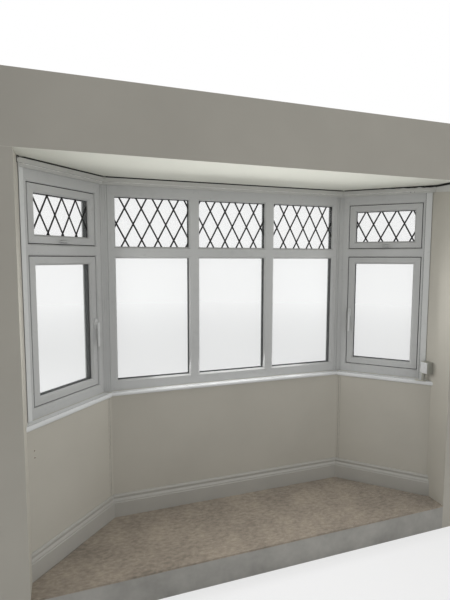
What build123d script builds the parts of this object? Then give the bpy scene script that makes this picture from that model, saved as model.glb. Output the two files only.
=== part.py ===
from build123d import *
import math
import os

os.makedirs("parts", exist_ok=True)

# Splayed bay window, seen from the room along +Y. Millimetres, +X to the right, +Y out of the house, +Z up.
# The origin is on the ground, at the middle of the bay, in the plane of the house wall's outer face.

# House wall and plan of the bay
HOUSE_WALL_T = 320.0
PIER_W = 232.0
REVEAL_D = 216.0
POST_GAP = 12.5
JAMB_GAP = 1.0
SPLAY_ANGLE = 45.0

# Floor, ceiling and heights above the carpet
SLAB_T = 150.0
CARPET_T = 12.0
BOARD_H = 815.0
HEAD_MARGIN = 38.0
CEILING_T = 12.5
ROOM_H = 2490.0

# Walls under the windows, each measured towards the room from the frames' inner faces
BRICK_T = 215.0
PLASTER_T = 13.0
FRONT_WALL_IN = 30.0
SPLAY_WALL_IN = 44.0

# Window board, cill, skirting and trims
BOARD_T = 25.0
SIDE_BOARD_T = 29.0
BOARD_NOSE = 12.0
BOARD_NOSE_R = 11.5
SIDE_BOARD_NOSE_R = 12.0
CILL_OVERHANG = 45.0
CILL_FALL = 14.0
CILL_NOSE = 20.0
CILL_LIP = 14.0
SKIRTING_H = 144.0
SKIRTING_T = 18.0
SKIRTING_FLAT = 92.0
SKIRTING_STEP = 3.0
SKIRTING_TOP = 4.0
# Moulding over the skirting's flat face, as shares of its thickness and of the height left
SKIRTING_CURVE = (
    (0.17, 0.20),
    (0.32, 0.34),
    (0.52, 0.46),
    (0.52, 0.60),
    (0.36, 0.68),
    (0.34, 0.80),
    (0.48, 0.94),
)
TRIM_PROUD = 38.0
TRIM_STEP = 20.0
TRIM_LOWER_H = 16.0
CEILING_GAP = 7.0
TRIM_LEFT_GAP = 3.0
RETURN_T = 12.0
RETURN_DROP = 19.0
JAMB_TRIM_T = 8.5
JAMB_TRIM_RIGHT_W = 31.0
JAMB_TRIM_LEFT_W = 19.5
JAMB_TRIM_GAP = 4.0
MITRE_GAP = 0.5

# Frames
FRONT_LIGHTS = 3
FRAME_D = 70.0
FRAME_FACE = 50.0
SIDE_RAIL_FACE = 60.0
BEAD_W = 18.0
MULLION_W = 70.0
LIGHT_W = 473.0
LOWER_LIGHT_H = 776.0
TOP_LIGHT_H = 306.0
FRAME_BEVEL = 7.0
OUTER_BEVEL = 12.0
BEAD_BEVEL = 9.0

# Opening sashes in the splays
SASH_FACE = 44.5
SASH_GAP = 4.5
SASH_SET_IN = 6.0
SASH_EDGE = 2.0
SASH_FLANGE_W = 10.0
SASH_FLANGE_T = 8.0
SASH_TRANSOM_H = 68.0
FANLIGHT_GLASS_H = 215.0
SIDE_GLASS_W = 398.0

# Sealed units
PANE_T = 4.0
CAVITY = 20.0
GASKET_T = 2.5
GASKET_LIP = 1.5
GASKET_COVER = 8.0
SEAL_IN = 14.0
SEAL_D = 9.0
GLASS_COVER = 14.0
SPACER_COVER = 2.0
SPACER_W = 9.0
FIXED_GLASS_IN = 18.0
SASH_GLASS_IN = 26.0

# Diamond leads
LEAD_W = 10.0
LEAD_T = 1.6
DIAMOND_W = 104.0
DIAMOND_H = 196.0
LEAD_ROW = 143.0
LEAD_LEFT_LIGHT = 10.0
LEAD_OTHER_LIGHTS = 28.5
LEAD_RIGHT_FAN = (15.5, 125.5)
LEAD_LEFT_FAN = (37.5, 112.5)

# Bay posts
POST_COVER_W = 43.0
POST_COVER_T = 4.0
POST_CORNER_W = 27.0
POST_CORNER_T = 8.0
POST_BEAD_R = 4.0
POST_BEAD_IN = 5.5

# Roof over the bay
HEAD_D = 110.0
ROOF_ZONE = 120.0
DECK_T = 18.0
ROOF_FALL = 22.0
COVER_T = 6.0
EAVES_OUT = 38.0
FASCIA_H = 150.0
FASCIA_T = 18.0
SOFFIT_T = 9.0

# Casement handles
HANDLE_TOP_H = 1290.0
HANDLE_BASE_W = 22.0
HANDLE_BASE_L = 62.0
HANDLE_BASE_T = 8.0
HANDLE_NECK_D = 17.0
HANDLE_OUT = 20.0
LEVER_L = 132.0
LEVER_W = 18.0
LEVER_TIP_W = 13.0
LEVER_T = 9.0
LEVER_SOFT = 2.5
BUTTON_D = 9.0
BUTTON_T = 4.0

# Fanlight catches
CATCH_FROM_POST = 207.5
CATCH_BASE_W = 46.0
CATCH_BASE_H = 14.0
CATCH_BASE_T = 7.0
CATCH_LEVER_L = 88.0
CATCH_LEVER_H = 11.0
CATCH_LEVER_T = 6.0
CATCH_OUT = 15.0

# Small box on the right-hand reveal, over the end of the window board
BOX_W = 64.0
BOX_H = 81.0
BOX_D = 48.0
BOX_UP = 54.0
BOX_FROM_MOUTH = 142.0
BOX_SOFT = 5.0
BOX_STEM_D = 20.0
BOX_STEM_IN = 14.0

# Levels worked out from the sizes above
FLOOR_Z = SLAB_T + CARPET_T
BOARD_Z = FLOOR_Z + BOARD_H
WALL_TOP = BOARD_Z - BOARD_T
SIDE_WALL_TOP = BOARD_Z - SIDE_BOARD_T
EDGE_TO_GLASS = FRAME_FACE + BEAD_W
EDGE_TO_SASH = FRAME_FACE + SASH_GAP
RAIL_TO_SASH = SIDE_RAIL_FACE + SASH_GAP
FRAME_H = 2 * EDGE_TO_GLASS + LOWER_LIGHT_H + MULLION_W + TOP_LIGHT_H
FRAME_TOP = BOARD_Z + FRAME_H
CEILING_Z = FRAME_TOP + HEAD_MARGIN + CEILING_GAP
HEADER_TOP = FLOOR_Z + ROOM_H

# Frames and sashes worked out from the sizes above
FRONT_FRAME_W = 2 * EDGE_TO_GLASS + FRONT_LIGHTS * LIGHT_W + (FRONT_LIGHTS - 1) * MULLION_W
SASH_W = SIDE_GLASS_W + 2 * SASH_FACE
SIDE_FRAME_W = 2 * EDGE_TO_SASH + SASH_W
FANLIGHT_H = FANLIGHT_GLASS_H + 2 * SASH_FACE
CASEMENT_H = FRAME_H - 2 * RAIL_TO_SASH - SASH_TRANSOM_H - FANLIGHT_H
SASH_MIDDLE = EDGE_TO_SASH + SASH_W / 2
CASEMENT_MIDDLE = RAIL_TO_SASH + CASEMENT_H / 2
FANLIGHT_MIDDLE = FRAME_H - RAIL_TO_SASH - FANLIGHT_H / 2

# Plan worked out from the frames, the corner posts and the reveals
SIN_A = math.sin(math.radians(SPLAY_ANGLE))
COS_A = math.cos(math.radians(SPLAY_ANGLE))
SPLAY_LEN = SIDE_FRAME_W + JAMB_GAP
CORNER_X = FRONT_FRAME_W / 2 + POST_GAP
CORNER_Y = REVEAL_D - HOUSE_WALL_T + SPLAY_LEN * SIN_A
HALF_MOUTH = CORNER_X + SPLAY_LEN * COS_A
HALF_WIDTH = HALF_MOUTH + PIER_W

# Depths worked out from the sizes above, from the frame's inner face outwards
UNIT_T = 2 * PANE_T + CAVITY
FIXED_STOP = FIXED_GLASS_IN + UNIT_T + GASKET_T
SASH_STOP = SASH_GLASS_IN + UNIT_T + GASKET_T

inner_front = -FRONT_WALL_IN + PLASTER_T
inner_splay = -SPLAY_WALL_IN + PLASTER_T
outer_front = inner_front + BRICK_T
outer_splay = inner_splay + BRICK_T


def turn_point(front_off, splay_off):
    """Right-hand corner between lines set outwards from the frames' inner faces."""
    x = CORNER_X + (splay_off - front_off * COS_A) / SIN_A
    return (x, CORNER_Y + front_off)


def splay_at_x(splay_off, x):
    """Point on the right-hand splay line at a given distance out, where it crosses x."""
    return (x, CORNER_Y + (splay_off - (x - CORNER_X) * SIN_A) / COS_A)


def splay_at_y(splay_off, y):
    """Point on the right-hand splay line at a given distance out, where it crosses y."""
    return (CORNER_X + (splay_off - (y - CORNER_Y) * COS_A) / SIN_A, y)


def splay_point(run, out):
    """Point a run along the right-hand splay from the corner and a distance out of it."""
    return (CORNER_X + run * COS_A + out * SIN_A, CORNER_Y - run * SIN_A + out * COS_A)


def jamb_point(out):
    """Point on the pier's slanted face, at a distance out from the frame's inner face."""
    share = out / outer_splay
    x = JAMB_IN[0] + share * (JAMB_OUT[0] - JAMB_IN[0])
    y = JAMB_IN[1] + share * (JAMB_OUT[1] - JAMB_IN[1])
    return (x, y)


def mitre_plane(inner, outer, shift):
    """Upright plane through two points of the right-hand mitre, its normal to the right."""
    return Plane(
        origin=(inner[0] + shift, inner[1], 0),
        z_dir=(outer[1] - inner[1], inner[0] - outer[0], 0),
    )


def front_run(outline, inner, outer, gap):
    """A section drawn as (distance out, height) run along the front and mitred at both corners."""
    cut = mitre_plane(inner, outer, -gap / 2)
    with BuildPart() as run:
        with BuildSketch(FRONT_ACROSS):
            Polygon(*outline, align=None)
        extrude(amount=HALF_MOUTH)
        split(bisect_by=cut, keep=Keep.BOTTOM)
        mirror(about=Plane.YZ)
    return run.part


def side_run(outline, inner, outer, gap):
    """A section run along the right-hand splay, mitred at the corner and ended at the reveal."""
    cut = mitre_plane(inner, outer, gap / 2)
    with BuildPart() as run:
        with BuildSketch(SIDE_ACROSS.offset(-HOUSE_WALL_T)):
            Polygon(*outline, align=None)
        extrude(amount=HOUSE_WALL_T + 2 * SPLAY_LEN)
        split(bisect_by=cut, keep=Keep.TOP)
        split(bisect_by=Plane.YZ.offset(HALF_MOUTH), keep=Keep.BOTTOM)
    return run.part


def mirrored(points):
    """The same outline on both sides of the bay's middle, as one ring."""
    return points + [(-x, y) for x, y in reversed(points)]


# Plane of the front frame's inner face, its origin at the bottom left, its normal into the room
FRONT_PLANE = Plane(
    origin=(-FRONT_FRAME_W / 2, CORNER_Y, BOARD_Z),
    x_dir=(1, 0, 0),
    z_dir=(0, -1, 0),
)
# Plane of the right-hand frame's inner face, its origin at the corner
SIDE_PLANE = Plane(
    origin=(CORNER_X, CORNER_Y, BOARD_Z),
    x_dir=(COS_A, -SIN_A, 0),
    z_dir=(-SIN_A, -COS_A, 0),
)
# Plane of the right-hand sashes' inner faces, a little behind the frame's
SASH_PLANE = SIDE_PLANE.offset(-SASH_SET_IN)


# Directions along the right-hand splay and out of it
along = Axis((0, 0, 0), (COS_A, -SIN_A, 0))
outward = Axis((0, 0, 0), (SIN_A, COS_A, 0))
# Ends of the pier's slanted face, where the splay meets the house wall
JAMB_IN = splay_at_x(0, HALF_MOUTH)
JAMB_OUT = splay_at_y(outer_splay, 0)
# Planes across the runs, for profiles drawn as (distance out, height)
FRONT_ACROSS = Plane(origin=(0, CORNER_Y, 0), x_dir=(0, 1, 0), z_dir=(1, 0, 0))
SIDE_ACROSS = Plane(origin=(CORNER_X, CORNER_Y, 0), x_dir=(SIN_A, COS_A, 0), z_dir=(COS_A, -SIN_A, 0))


def save(piece, name):
    """Label a finished piece and write it."""
    piece.part.label = name
    export_step(piece.part, "parts/" + name + ".step")


# Floor slab between the walls
with BuildPart() as floor_slab:
    with BuildSketch():
        with BuildLine():
            Polyline(
                *mirrored(
                    [
                        turn_point(inner_front, inner_splay),
                        splay_at_x(inner_splay, HALF_MOUTH),
                        (HALF_MOUTH, -HOUSE_WALL_T),
                    ]
                ),
                close=True,
            )
        make_face()
    extrude(amount=SLAB_T)
save(floor_slab, "floor_slab")

# Carpet, up to the skirting
carpet_front = -FRONT_WALL_IN - SKIRTING_T
carpet_splay = -SPLAY_WALL_IN - SKIRTING_T
with BuildPart() as carpet:
    with BuildSketch(Plane.XY.offset(SLAB_T)):
        with BuildLine():
            Polyline(
                *mirrored(
                    [
                        turn_point(carpet_front, carpet_splay),
                        splay_at_x(carpet_splay, HALF_MOUTH),
                        (HALF_MOUTH, -HOUSE_WALL_T),
                    ]
                ),
                close=True,
            )
        make_face()
    extrude(amount=CARPET_T)
save(carpet, "carpet")

# One-brick walls under the windows
with BuildPart() as wall_front:
    with BuildSketch():
        with BuildLine():
            Polyline(
                *mirrored([turn_point(outer_front, outer_splay), turn_point(inner_front, inner_splay)]),
                close=True,
            )
        make_face()
    extrude(amount=WALL_TOP)
save(wall_front, "wall_front")

with BuildPart() as wall_right:
    with BuildSketch():
        with BuildLine():
            Polyline(
                turn_point(inner_front, inner_splay),
                turn_point(outer_front, outer_splay),
                JAMB_OUT,
                JAMB_IN,
                splay_at_x(inner_splay, HALF_MOUTH),
                close=True,
            )
        make_face()
    extrude(amount=SIDE_WALL_TOP)
save(wall_right, "wall_right")

with BuildPart() as wall_left:
    mirror(wall_right.part, about=Plane.YZ)
save(wall_left, "wall_left")

# Piers beside the mouth, ending at plain party faces
PIER_TOP = CEILING_Z
with BuildPart() as pier_right:
    with BuildSketch():
        with BuildLine():
            Polyline(
                (HALF_MOUTH, -HOUSE_WALL_T),
                (HALF_WIDTH, -HOUSE_WALL_T),
                (HALF_WIDTH, 0),
                JAMB_OUT,
                JAMB_IN,
                close=True,
            )
        make_face()
    extrude(amount=PIER_TOP)
save(pier_right, "pier_right")

with BuildPart() as pier_left:
    mirror(pier_right.part, about=Plane.YZ)
save(pier_left, "pier_left")

# House wall over the mouth
with BuildPart() as header_wall:
    with BuildSketch(Plane.XY.offset(PIER_TOP)):
        with Locations((0, -HOUSE_WALL_T / 2)):
            Rectangle(2 * HALF_WIDTH, HOUSE_WALL_T)
    extrude(amount=HEADER_TOP - PIER_TOP)
save(header_wall, "header_wall")

# Bay ceiling, from the house wall out to the lintels
with BuildPart() as bay_ceiling:
    with BuildSketch(Plane.XY.offset(CEILING_Z)):
        with BuildLine():
            Polyline(*mirrored([turn_point(0, 0), splay_at_y(0, 0)]), close=True)
        make_face()
    extrude(amount=CEILING_T)
save(bay_ceiling, "bay_ceiling")

# Lintels over the frames, carrying the roof
HEAD_TOP = CEILING_Z + CEILING_T + ROOF_ZONE
with BuildPart() as head_front:
    with BuildSketch(Plane.XY.offset(FRAME_TOP)):
        with BuildLine():
            Polyline(*mirrored([turn_point(HEAD_D, HEAD_D), turn_point(0, 0)]), close=True)
        make_face()
    extrude(amount=HEAD_TOP - FRAME_TOP)
save(head_front, "head_front")

with BuildPart() as head_right:
    with BuildSketch(Plane.XY.offset(FRAME_TOP)):
        Polygon(
            turn_point(0, 0),
            turn_point(HEAD_D, HEAD_D),
            jamb_point(HEAD_D),
            jamb_point(0),
            align=None,
        )
    extrude(amount=CEILING_Z - FRAME_TOP)
    with BuildSketch(Plane.XY.offset(CEILING_Z)):
        Polygon(
            turn_point(0, 0),
            turn_point(HEAD_D, HEAD_D),
            splay_at_y(HEAD_D, 0),
            splay_at_y(0, 0),
            align=None,
        )
    extrude(amount=HEAD_TOP - CEILING_Z)
save(head_right, "head_right")

with BuildPart() as head_left:
    mirror(head_right.part, about=Plane.YZ)
save(head_left, "head_left")

# Roof deck and its covering, falling away from the house
ROOF_OUT = outer_front + EAVES_OUT
roof_outline = mirrored([turn_point(ROOF_OUT, ROOF_OUT), splay_at_y(ROOF_OUT, 0)])
roof_depth = CORNER_Y + ROOF_OUT
with BuildPart() as roof_deck:
    with BuildSketch(Plane.XY.offset(HEAD_TOP)):
        with BuildLine():
            Polyline(*roof_outline, close=True)
        make_face()
    extrude(amount=DECK_T + ROOF_FALL)
    with BuildSketch(Plane.YZ):
        with BuildLine():
            Polyline(
                (0, HEAD_TOP + DECK_T + ROOF_FALL),
                (roof_depth, HEAD_TOP + DECK_T),
                (roof_depth, HEAD_TOP + DECK_T + 2 * ROOF_FALL),
                (0, HEAD_TOP + DECK_T + 2 * ROOF_FALL),
                close=True,
            )
        make_face()
    extrude(amount=2 * HALF_WIDTH, both=True, mode=Mode.SUBTRACT)
save(roof_deck, "roof_deck")

with BuildPart() as roof_covering:
    with BuildSketch(Plane.XY.offset(HEAD_TOP)):
        with BuildLine():
            Polyline(*roof_outline, close=True)
        make_face()
    extrude(amount=DECK_T + ROOF_FALL + COVER_T)
    with BuildSketch(Plane.YZ):
        with BuildLine():
            Polyline(
                (0, HEAD_TOP + DECK_T + ROOF_FALL + COVER_T),
                (roof_depth, HEAD_TOP + DECK_T + COVER_T),
                (roof_depth, HEAD_TOP + DECK_T + 2 * ROOF_FALL),
                (0, HEAD_TOP + DECK_T + 2 * ROOF_FALL),
                close=True,
            )
        make_face()
    extrude(amount=2 * HALF_WIDTH, both=True, mode=Mode.SUBTRACT)
    add(roof_deck.part, mode=Mode.SUBTRACT)
save(roof_covering, "roof_covering")

# Eaves: a fascia under the deck's edge and a soffit back to the lintels
fascia_out = ROOF_OUT
fascia_in = ROOF_OUT - FASCIA_T
with BuildPart() as eaves:
    with BuildSketch(Plane.XY.offset(HEAD_TOP - FASCIA_H)):
        with BuildLine():
            Polyline(
                *mirrored(
                    [
                        turn_point(fascia_in, fascia_in),
                        splay_at_y(fascia_in, 0),
                        splay_at_y(fascia_out, 0),
                        turn_point(fascia_out, fascia_out),
                    ][::-1]
                ),
                close=True,
            )
        make_face()
    extrude(amount=FASCIA_H)
    with BuildSketch(Plane.XY.offset(HEAD_TOP - FASCIA_H)):
        with BuildLine():
            Polyline(
                *mirrored(
                    [
                        turn_point(HEAD_D, HEAD_D),
                        splay_at_y(HEAD_D, 0),
                        splay_at_y(fascia_out, 0),
                        turn_point(fascia_out, fascia_out),
                    ][::-1]
                ),
                close=True,
            )
        make_face()
    extrude(amount=SOFFIT_T)
save(eaves, "eaves")

# Window boards with rounded noses, on the plaster and the brick
board_front_in = -FRONT_WALL_IN - BOARD_NOSE
board_splay_in = -SPLAY_WALL_IN - BOARD_NOSE
with BuildPart() as window_board_front:
    with BuildSketch(Plane.XY.offset(WALL_TOP)):
        with BuildLine():
            Polyline(*mirrored([turn_point(0, 0), turn_point(board_front_in, board_splay_in)]), close=True)
        make_face()
    extrude(amount=BOARD_T)
    nose = window_board_front.faces().sort_by(Axis.Y)[0]
    fillet(nose.edges().filter_by(Axis.X), radius=BOARD_NOSE_R)
save(window_board_front, "window_board_front")

with BuildPart() as window_board_right:
    with BuildSketch(Plane.XY.offset(SIDE_WALL_TOP)):
        Polygon(
            turn_point(0, 0),
            turn_point(board_front_in, board_splay_in),
            splay_at_x(board_splay_in, HALF_MOUTH),
            splay_at_x(0, HALF_MOUTH),
            align=None,
        )
    extrude(amount=SIDE_BOARD_T)
    fillet(window_board_right.edges().filter_by(along).group_by(outward)[0], radius=SIDE_BOARD_NOSE_R)
save(window_board_right, "window_board_right")

with BuildPart() as window_board_left:
    mirror(window_board_right.part, about=Plane.YZ)
save(window_board_left, "window_board_left")

# Inner plaster of the three walls, from the slab up to the window boards
with BuildPart() as wall_plaster:
    with BuildSketch(Plane.XY.offset(SLAB_T)):
        with BuildLine():
            Polyline(
                *mirrored(
                    [
                        turn_point(inner_front, inner_splay),
                        splay_at_x(inner_splay, HALF_MOUTH),
                        splay_at_x(-SPLAY_WALL_IN, HALF_MOUTH),
                        turn_point(-FRONT_WALL_IN, -SPLAY_WALL_IN),
                    ][::-1]
                ),
                close=True,
            )
        make_face()
    extrude(amount=WALL_TOP - SLAB_T)
    add([window_board_left.part, window_board_right.part], mode=Mode.SUBTRACT)
save(wall_plaster, "wall_plaster")

# External cills, sloping down to a nose that drips clear of the brick
cill_nose_front = outer_front + CILL_OVERHANG
cill_nose_splay = outer_splay + CILL_OVERHANG
cill_edge_z = BOARD_Z - CILL_FALL
cill_drip_z = cill_edge_z - CILL_NOSE


def cill_outline(nose, wall_top):
    """Section of a cill on its wall as (distance out, height)."""
    return [
        (0, wall_top),
        (0, BOARD_Z),
        (FRAME_D, BOARD_Z),
        (nose, cill_edge_z),
        (nose, cill_drip_z),
        (nose - CILL_LIP, cill_drip_z),
        (nose - CILL_LIP, wall_top),
    ]


cill_corner = turn_point(cill_nose_front, cill_nose_splay)
with BuildPart() as cill_front:
    add(front_run(cill_outline(cill_nose_front, WALL_TOP), turn_point(0, 0), cill_corner, 0))
save(cill_front, "cill_front")

with BuildPart() as cill_right:
    with BuildSketch(SIDE_ACROSS.offset(-HOUSE_WALL_T)):
        Polygon(*cill_outline(cill_nose_splay, SIDE_WALL_TOP), align=None)
    extrude(amount=HOUSE_WALL_T + 2 * SPLAY_LEN)
    with BuildSketch():
        Polygon(
            turn_point(0, 0),
            cill_corner,
            splay_at_y(cill_nose_splay, 0),
            JAMB_OUT,
            JAMB_IN,
            align=None,
        )
    extrude(amount=CEILING_Z, mode=Mode.INTERSECT)
save(cill_right, "cill_right")

with BuildPart() as cill_left:
    mirror(cill_right.part, about=Plane.YZ)
save(cill_left, "cill_left")

# Skirting of the three walls, mitred at the corners
skirting_top = FLOOR_Z + SKIRTING_H


def skirting_outline(back):
    """Moulded section of the skirting as (distance out, height), its back against the plaster."""
    face = back - SKIRTING_T
    flat = FLOOR_Z + SKIRTING_FLAT
    rise = skirting_top - flat
    return [
        (back, SLAB_T),
        (face, SLAB_T),
        (face, flat),
        (face + SKIRTING_STEP, flat + SKIRTING_STEP),
        *[(face + part * SKIRTING_T, flat + height * rise) for part, height in SKIRTING_CURVE],
        (back - SKIRTING_TOP, skirting_top),
        (back, skirting_top),
    ]


skirting_in = turn_point(-FRONT_WALL_IN - SKIRTING_T, -SPLAY_WALL_IN - SKIRTING_T)
skirting_out = turn_point(-FRONT_WALL_IN, -SPLAY_WALL_IN)
with BuildPart() as skirting:
    add(front_run(skirting_outline(-FRONT_WALL_IN), skirting_in, skirting_out, MITRE_GAP))
    side_skirting = side_run(skirting_outline(-SPLAY_WALL_IN), skirting_in, skirting_out, MITRE_GAP)
    add(side_skirting)
    mirror(side_skirting, about=Plane.YZ)
save(skirting, "skirting")

# Two-step trim over the frames, a little below the ceiling
trim_top = CEILING_Z - CEILING_GAP
trim_outline = [
    (0, FRAME_TOP),
    (0, trim_top),
    (-TRIM_PROUD, trim_top),
    (-TRIM_PROUD, FRAME_TOP + TRIM_LOWER_H),
    (-TRIM_STEP, FRAME_TOP + TRIM_LOWER_H),
    (-TRIM_STEP, FRAME_TOP),
]
trim_in = turn_point(-TRIM_PROUD, -TRIM_PROUD)
side_trim = side_run(trim_outline, trim_in, turn_point(0, 0), MITRE_GAP)
with BuildPart() as short_trim:
    add(side_trim)
    split(bisect_by=Plane.YZ.offset(HALF_MOUTH - TRIM_LEFT_GAP), keep=Keep.BOTTOM)
# Strip that carries the trim on over the right-hand reveal, deeper towards the room
return_in = splay_at_x(-TRIM_PROUD, HALF_MOUTH)[1] + RETURN_T
with BuildPart() as trim_return:
    with BuildSketch(Plane.YZ.offset(HALF_MOUTH)):
        Polygon(
            (-HOUSE_WALL_T, FRAME_TOP - RETURN_DROP),
            (return_in, FRAME_TOP),
            (return_in, trim_top),
            (-HOUSE_WALL_T, trim_top),
            align=None,
        )
    extrude(amount=-RETURN_T)
    with BuildSketch(Plane.XY.offset(WALL_TOP)):
        Polygon(
            (HALF_MOUTH, -HOUSE_WALL_T),
            splay_at_x(-TRIM_PROUD - MITRE_GAP, HALF_MOUTH),
            splay_at_x(-TRIM_PROUD - MITRE_GAP, HALF_MOUTH - RETURN_T),
            (HALF_MOUTH - RETURN_T, -HOUSE_WALL_T),
            align=None,
        )
    extrude(amount=CEILING_Z - WALL_TOP, mode=Mode.INTERSECT)
with BuildPart() as head_trim:
    add(front_run(trim_outline, trim_in, turn_point(0, 0), MITRE_GAP))
    add([side_trim, trim_return.part])
    mirror(short_trim.part, about=Plane.YZ)
save(head_trim, "head_trim")

# Closing strips between the side frames and the piers, and the cover strips on the frames
def jamb_strip(width):
    """Closing strip and cover strip at the right-hand reveal, the cover strip of a given width."""
    start = SPLAY_LEN - JAMB_TRIM_GAP - width
    with BuildPart() as made:
        with BuildSketch(Plane.XY.offset(BOARD_Z)):
            Polygon(
                splay_point(SIDE_FRAME_W, 0),
                splay_point(SIDE_FRAME_W, FRAME_D),
                jamb_point(FRAME_D),
                JAMB_IN,
                align=None,
            )
            Polygon(
                splay_point(start, 0),
                splay_at_x(0, HALF_MOUTH - JAMB_TRIM_GAP),
                splay_at_x(-JAMB_TRIM_T, HALF_MOUTH - JAMB_TRIM_GAP),
                splay_point(start, -JAMB_TRIM_T),
                align=None,
            )
        extrude(amount=FRAME_H)
    return made.part


with BuildPart() as jamb_trim:
    add(jamb_strip(JAMB_TRIM_RIGHT_W))
    mirror(jamb_strip(JAMB_TRIM_LEFT_W), about=Plane.YZ)
save(jamb_trim, "jamb_trim")

# Daylight openings of the front frame, as (middle, height of the middle, width, height)
light_pitch = LIGHT_W + MULLION_W
light_middles = [EDGE_TO_GLASS + LIGHT_W / 2 + i * light_pitch for i in range(FRONT_LIGHTS)]
lower_middle = EDGE_TO_GLASS + LOWER_LIGHT_H / 2
top_middle = FRAME_H - EDGE_TO_GLASS - TOP_LIGHT_H / 2
front_lights = [(x, lower_middle, LIGHT_W, LOWER_LIGHT_H) for x in light_middles]
front_lights += [(x, top_middle, LIGHT_W, TOP_LIGHT_H) for x in light_middles]
# Daylight openings of the two right-hand sashes
casement_glass_h = CASEMENT_H - 2 * SASH_FACE
side_lights = [
    (SASH_MIDDLE, CASEMENT_MIDDLE, SIDE_GLASS_W, casement_glass_h),
    (SASH_MIDDLE, FANLIGHT_MIDDLE, SIDE_GLASS_W, FANLIGHT_GLASS_H),
]


def cut_rectangles(lights, more):
    """Cut each light's rectangle, made larger all round, out of the open sketch."""
    for x, y, width, height in lights:
        with Locations((x, y)):
            Rectangle(width + 2 * more, height + 2 * more, mode=Mode.SUBTRACT)


def rings(plane, lights, inner, outer, start, end):
    """One ring round each light, between two margins and two depths from the inner face."""
    with BuildPart() as made:
        with BuildSketch(plane.offset(-start)):
            for x, y, width, height in lights:
                with Locations((x, y)):
                    Rectangle(width + 2 * outer, height + 2 * outer)
            cut_rectangles(lights, inner)
        extrude(amount=start - end)
    return made.part


# Front frame: three fixed lights with a top light over each
with BuildPart() as frame_front:
    with BuildSketch(FRONT_PLANE):
        with Locations((FRONT_FRAME_W / 2, FRAME_H / 2)):
            Rectangle(FRONT_FRAME_W, FRAME_H)
        cut_rectangles(front_lights, BEAD_W)
    extrude(amount=-FIXED_STOP)
    with BuildSketch(FRONT_PLANE.offset(-FIXED_STOP)):
        with Locations((FRONT_FRAME_W / 2, FRAME_H / 2)):
            Rectangle(FRONT_FRAME_W, FRAME_H)
        cut_rectangles(front_lights, 0)
    extrude(amount=FIXED_STOP - FRAME_D)
    outside = frame_front.faces().filter_by(Axis.Y).sort_by(Axis.Y)[-1]
    for wire in outside.inner_wires():
        chamfer(wire.edges(), length=OUTER_BEVEL)
save(frame_front, "frame_front")

# Side frames, open for a casement and a fanlight
sash_openings = [
    (SASH_MIDDLE, CASEMENT_MIDDLE, SASH_W, CASEMENT_H),
    (SASH_MIDDLE, FANLIGHT_MIDDLE, SASH_W, FANLIGHT_H),
]
with BuildPart() as frame_right:
    with BuildSketch(SIDE_PLANE):
        with Locations((SIDE_FRAME_W / 2, FRAME_H / 2)):
            Rectangle(SIDE_FRAME_W, FRAME_H)
        cut_rectangles(sash_openings, SASH_GAP)
    extrude(amount=-FRAME_D)
    inside = frame_right.faces().filter_by(outward).sort_by(outward)[0]
    for wire in inside.inner_wires():
        chamfer(wire.edges(), length=FRAME_BEVEL)
save(frame_right, "frame_right")

with BuildPart() as frame_left:
    mirror(frame_right.part, about=Plane.YZ)
save(frame_left, "frame_left")


def sash(opening, light):
    """A sash with a glazing rebate inside and a flange lapping the frame outside."""
    x, y, width, height = opening
    with BuildPart() as made:
        with BuildSketch(SASH_PLANE):
            with Locations((x, y)):
                Rectangle(width, height)
            cut_rectangles([light], BEAD_W)
        extrude(amount=SASH_SET_IN - SASH_STOP)
        with BuildSketch(SIDE_PLANE.offset(-SASH_STOP)):
            with Locations((x, y)):
                Rectangle(width, height)
            cut_rectangles([light], 0)
        extrude(amount=SASH_STOP - FRAME_D)
        with BuildSketch(SIDE_PLANE.offset(-FRAME_D)):
            with Locations((x, y)):
                lap = SASH_GAP + SASH_FLANGE_W
                Rectangle(width + 2 * lap, height + 2 * lap)
            cut_rectangles([light], 0)
        extrude(amount=-SASH_FLANGE_T)
        inner_face = made.faces().filter_by(outward).sort_by(outward)[0]
        chamfer(inner_face.outer_wire().edges(), length=SASH_EDGE)
        outer_face = made.faces().filter_by(outward).sort_by(outward)[-1]
        for wire in outer_face.inner_wires():
            chamfer(wire.edges(), length=OUTER_BEVEL)
    return made.part


with BuildPart() as casement_right:
    add(sash(sash_openings[0], side_lights[0]))
save(casement_right, "casement_right")

with BuildPart() as casement_left:
    mirror(casement_right.part, about=Plane.YZ)
save(casement_left, "casement_left")

with BuildPart() as fanlight_right:
    add(sash(sash_openings[1], side_lights[1]))
save(fanlight_right, "fanlight_right")

with BuildPart() as fanlight_left:
    mirror(fanlight_right.part, about=Plane.YZ)
save(fanlight_left, "fanlight_left")


def bead_rings(plane, lights, depth):
    """Bevelled glazing beads round each light, their faces flush with the plane."""
    inward = Axis(plane.origin, plane.z_dir)
    with BuildPart() as made:
        add(rings(plane, lights, 0, BEAD_W, 0, depth))
        for face in made.faces().filter_by(inward).group_by(inward)[-1]:
            for wire in face.inner_wires():
                chamfer(wire.edges(), length=BEAD_BEVEL)
    return made.part


with BuildPart() as beads:
    add(bead_rings(FRONT_PLANE, front_lights, FIXED_GLASS_IN - GASKET_T))
    side_beads = bead_rings(SASH_PLANE, side_lights, SASH_GLASS_IN - GASKET_T - SASH_SET_IN)
    add(side_beads)
    mirror(side_beads, about=Plane.YZ)
save(beads, "beads")


def panes(plane, lights, start):
    """Two panes for each light, the inner one starting at a depth from the inner face."""
    with BuildPart() as made:
        for depth in (start, start + PANE_T + CAVITY):
            with BuildSketch(plane.offset(-depth)):
                for x, y, width, height in lights:
                    with Locations((x, y)):
                        Rectangle(width + 2 * GLASS_COVER, height + 2 * GLASS_COVER)
            extrude(amount=-PANE_T)
    return made.part


with BuildPart() as glass_front:
    add(panes(FRONT_PLANE, front_lights, FIXED_GLASS_IN))
save(glass_front, "glass_front")

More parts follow.
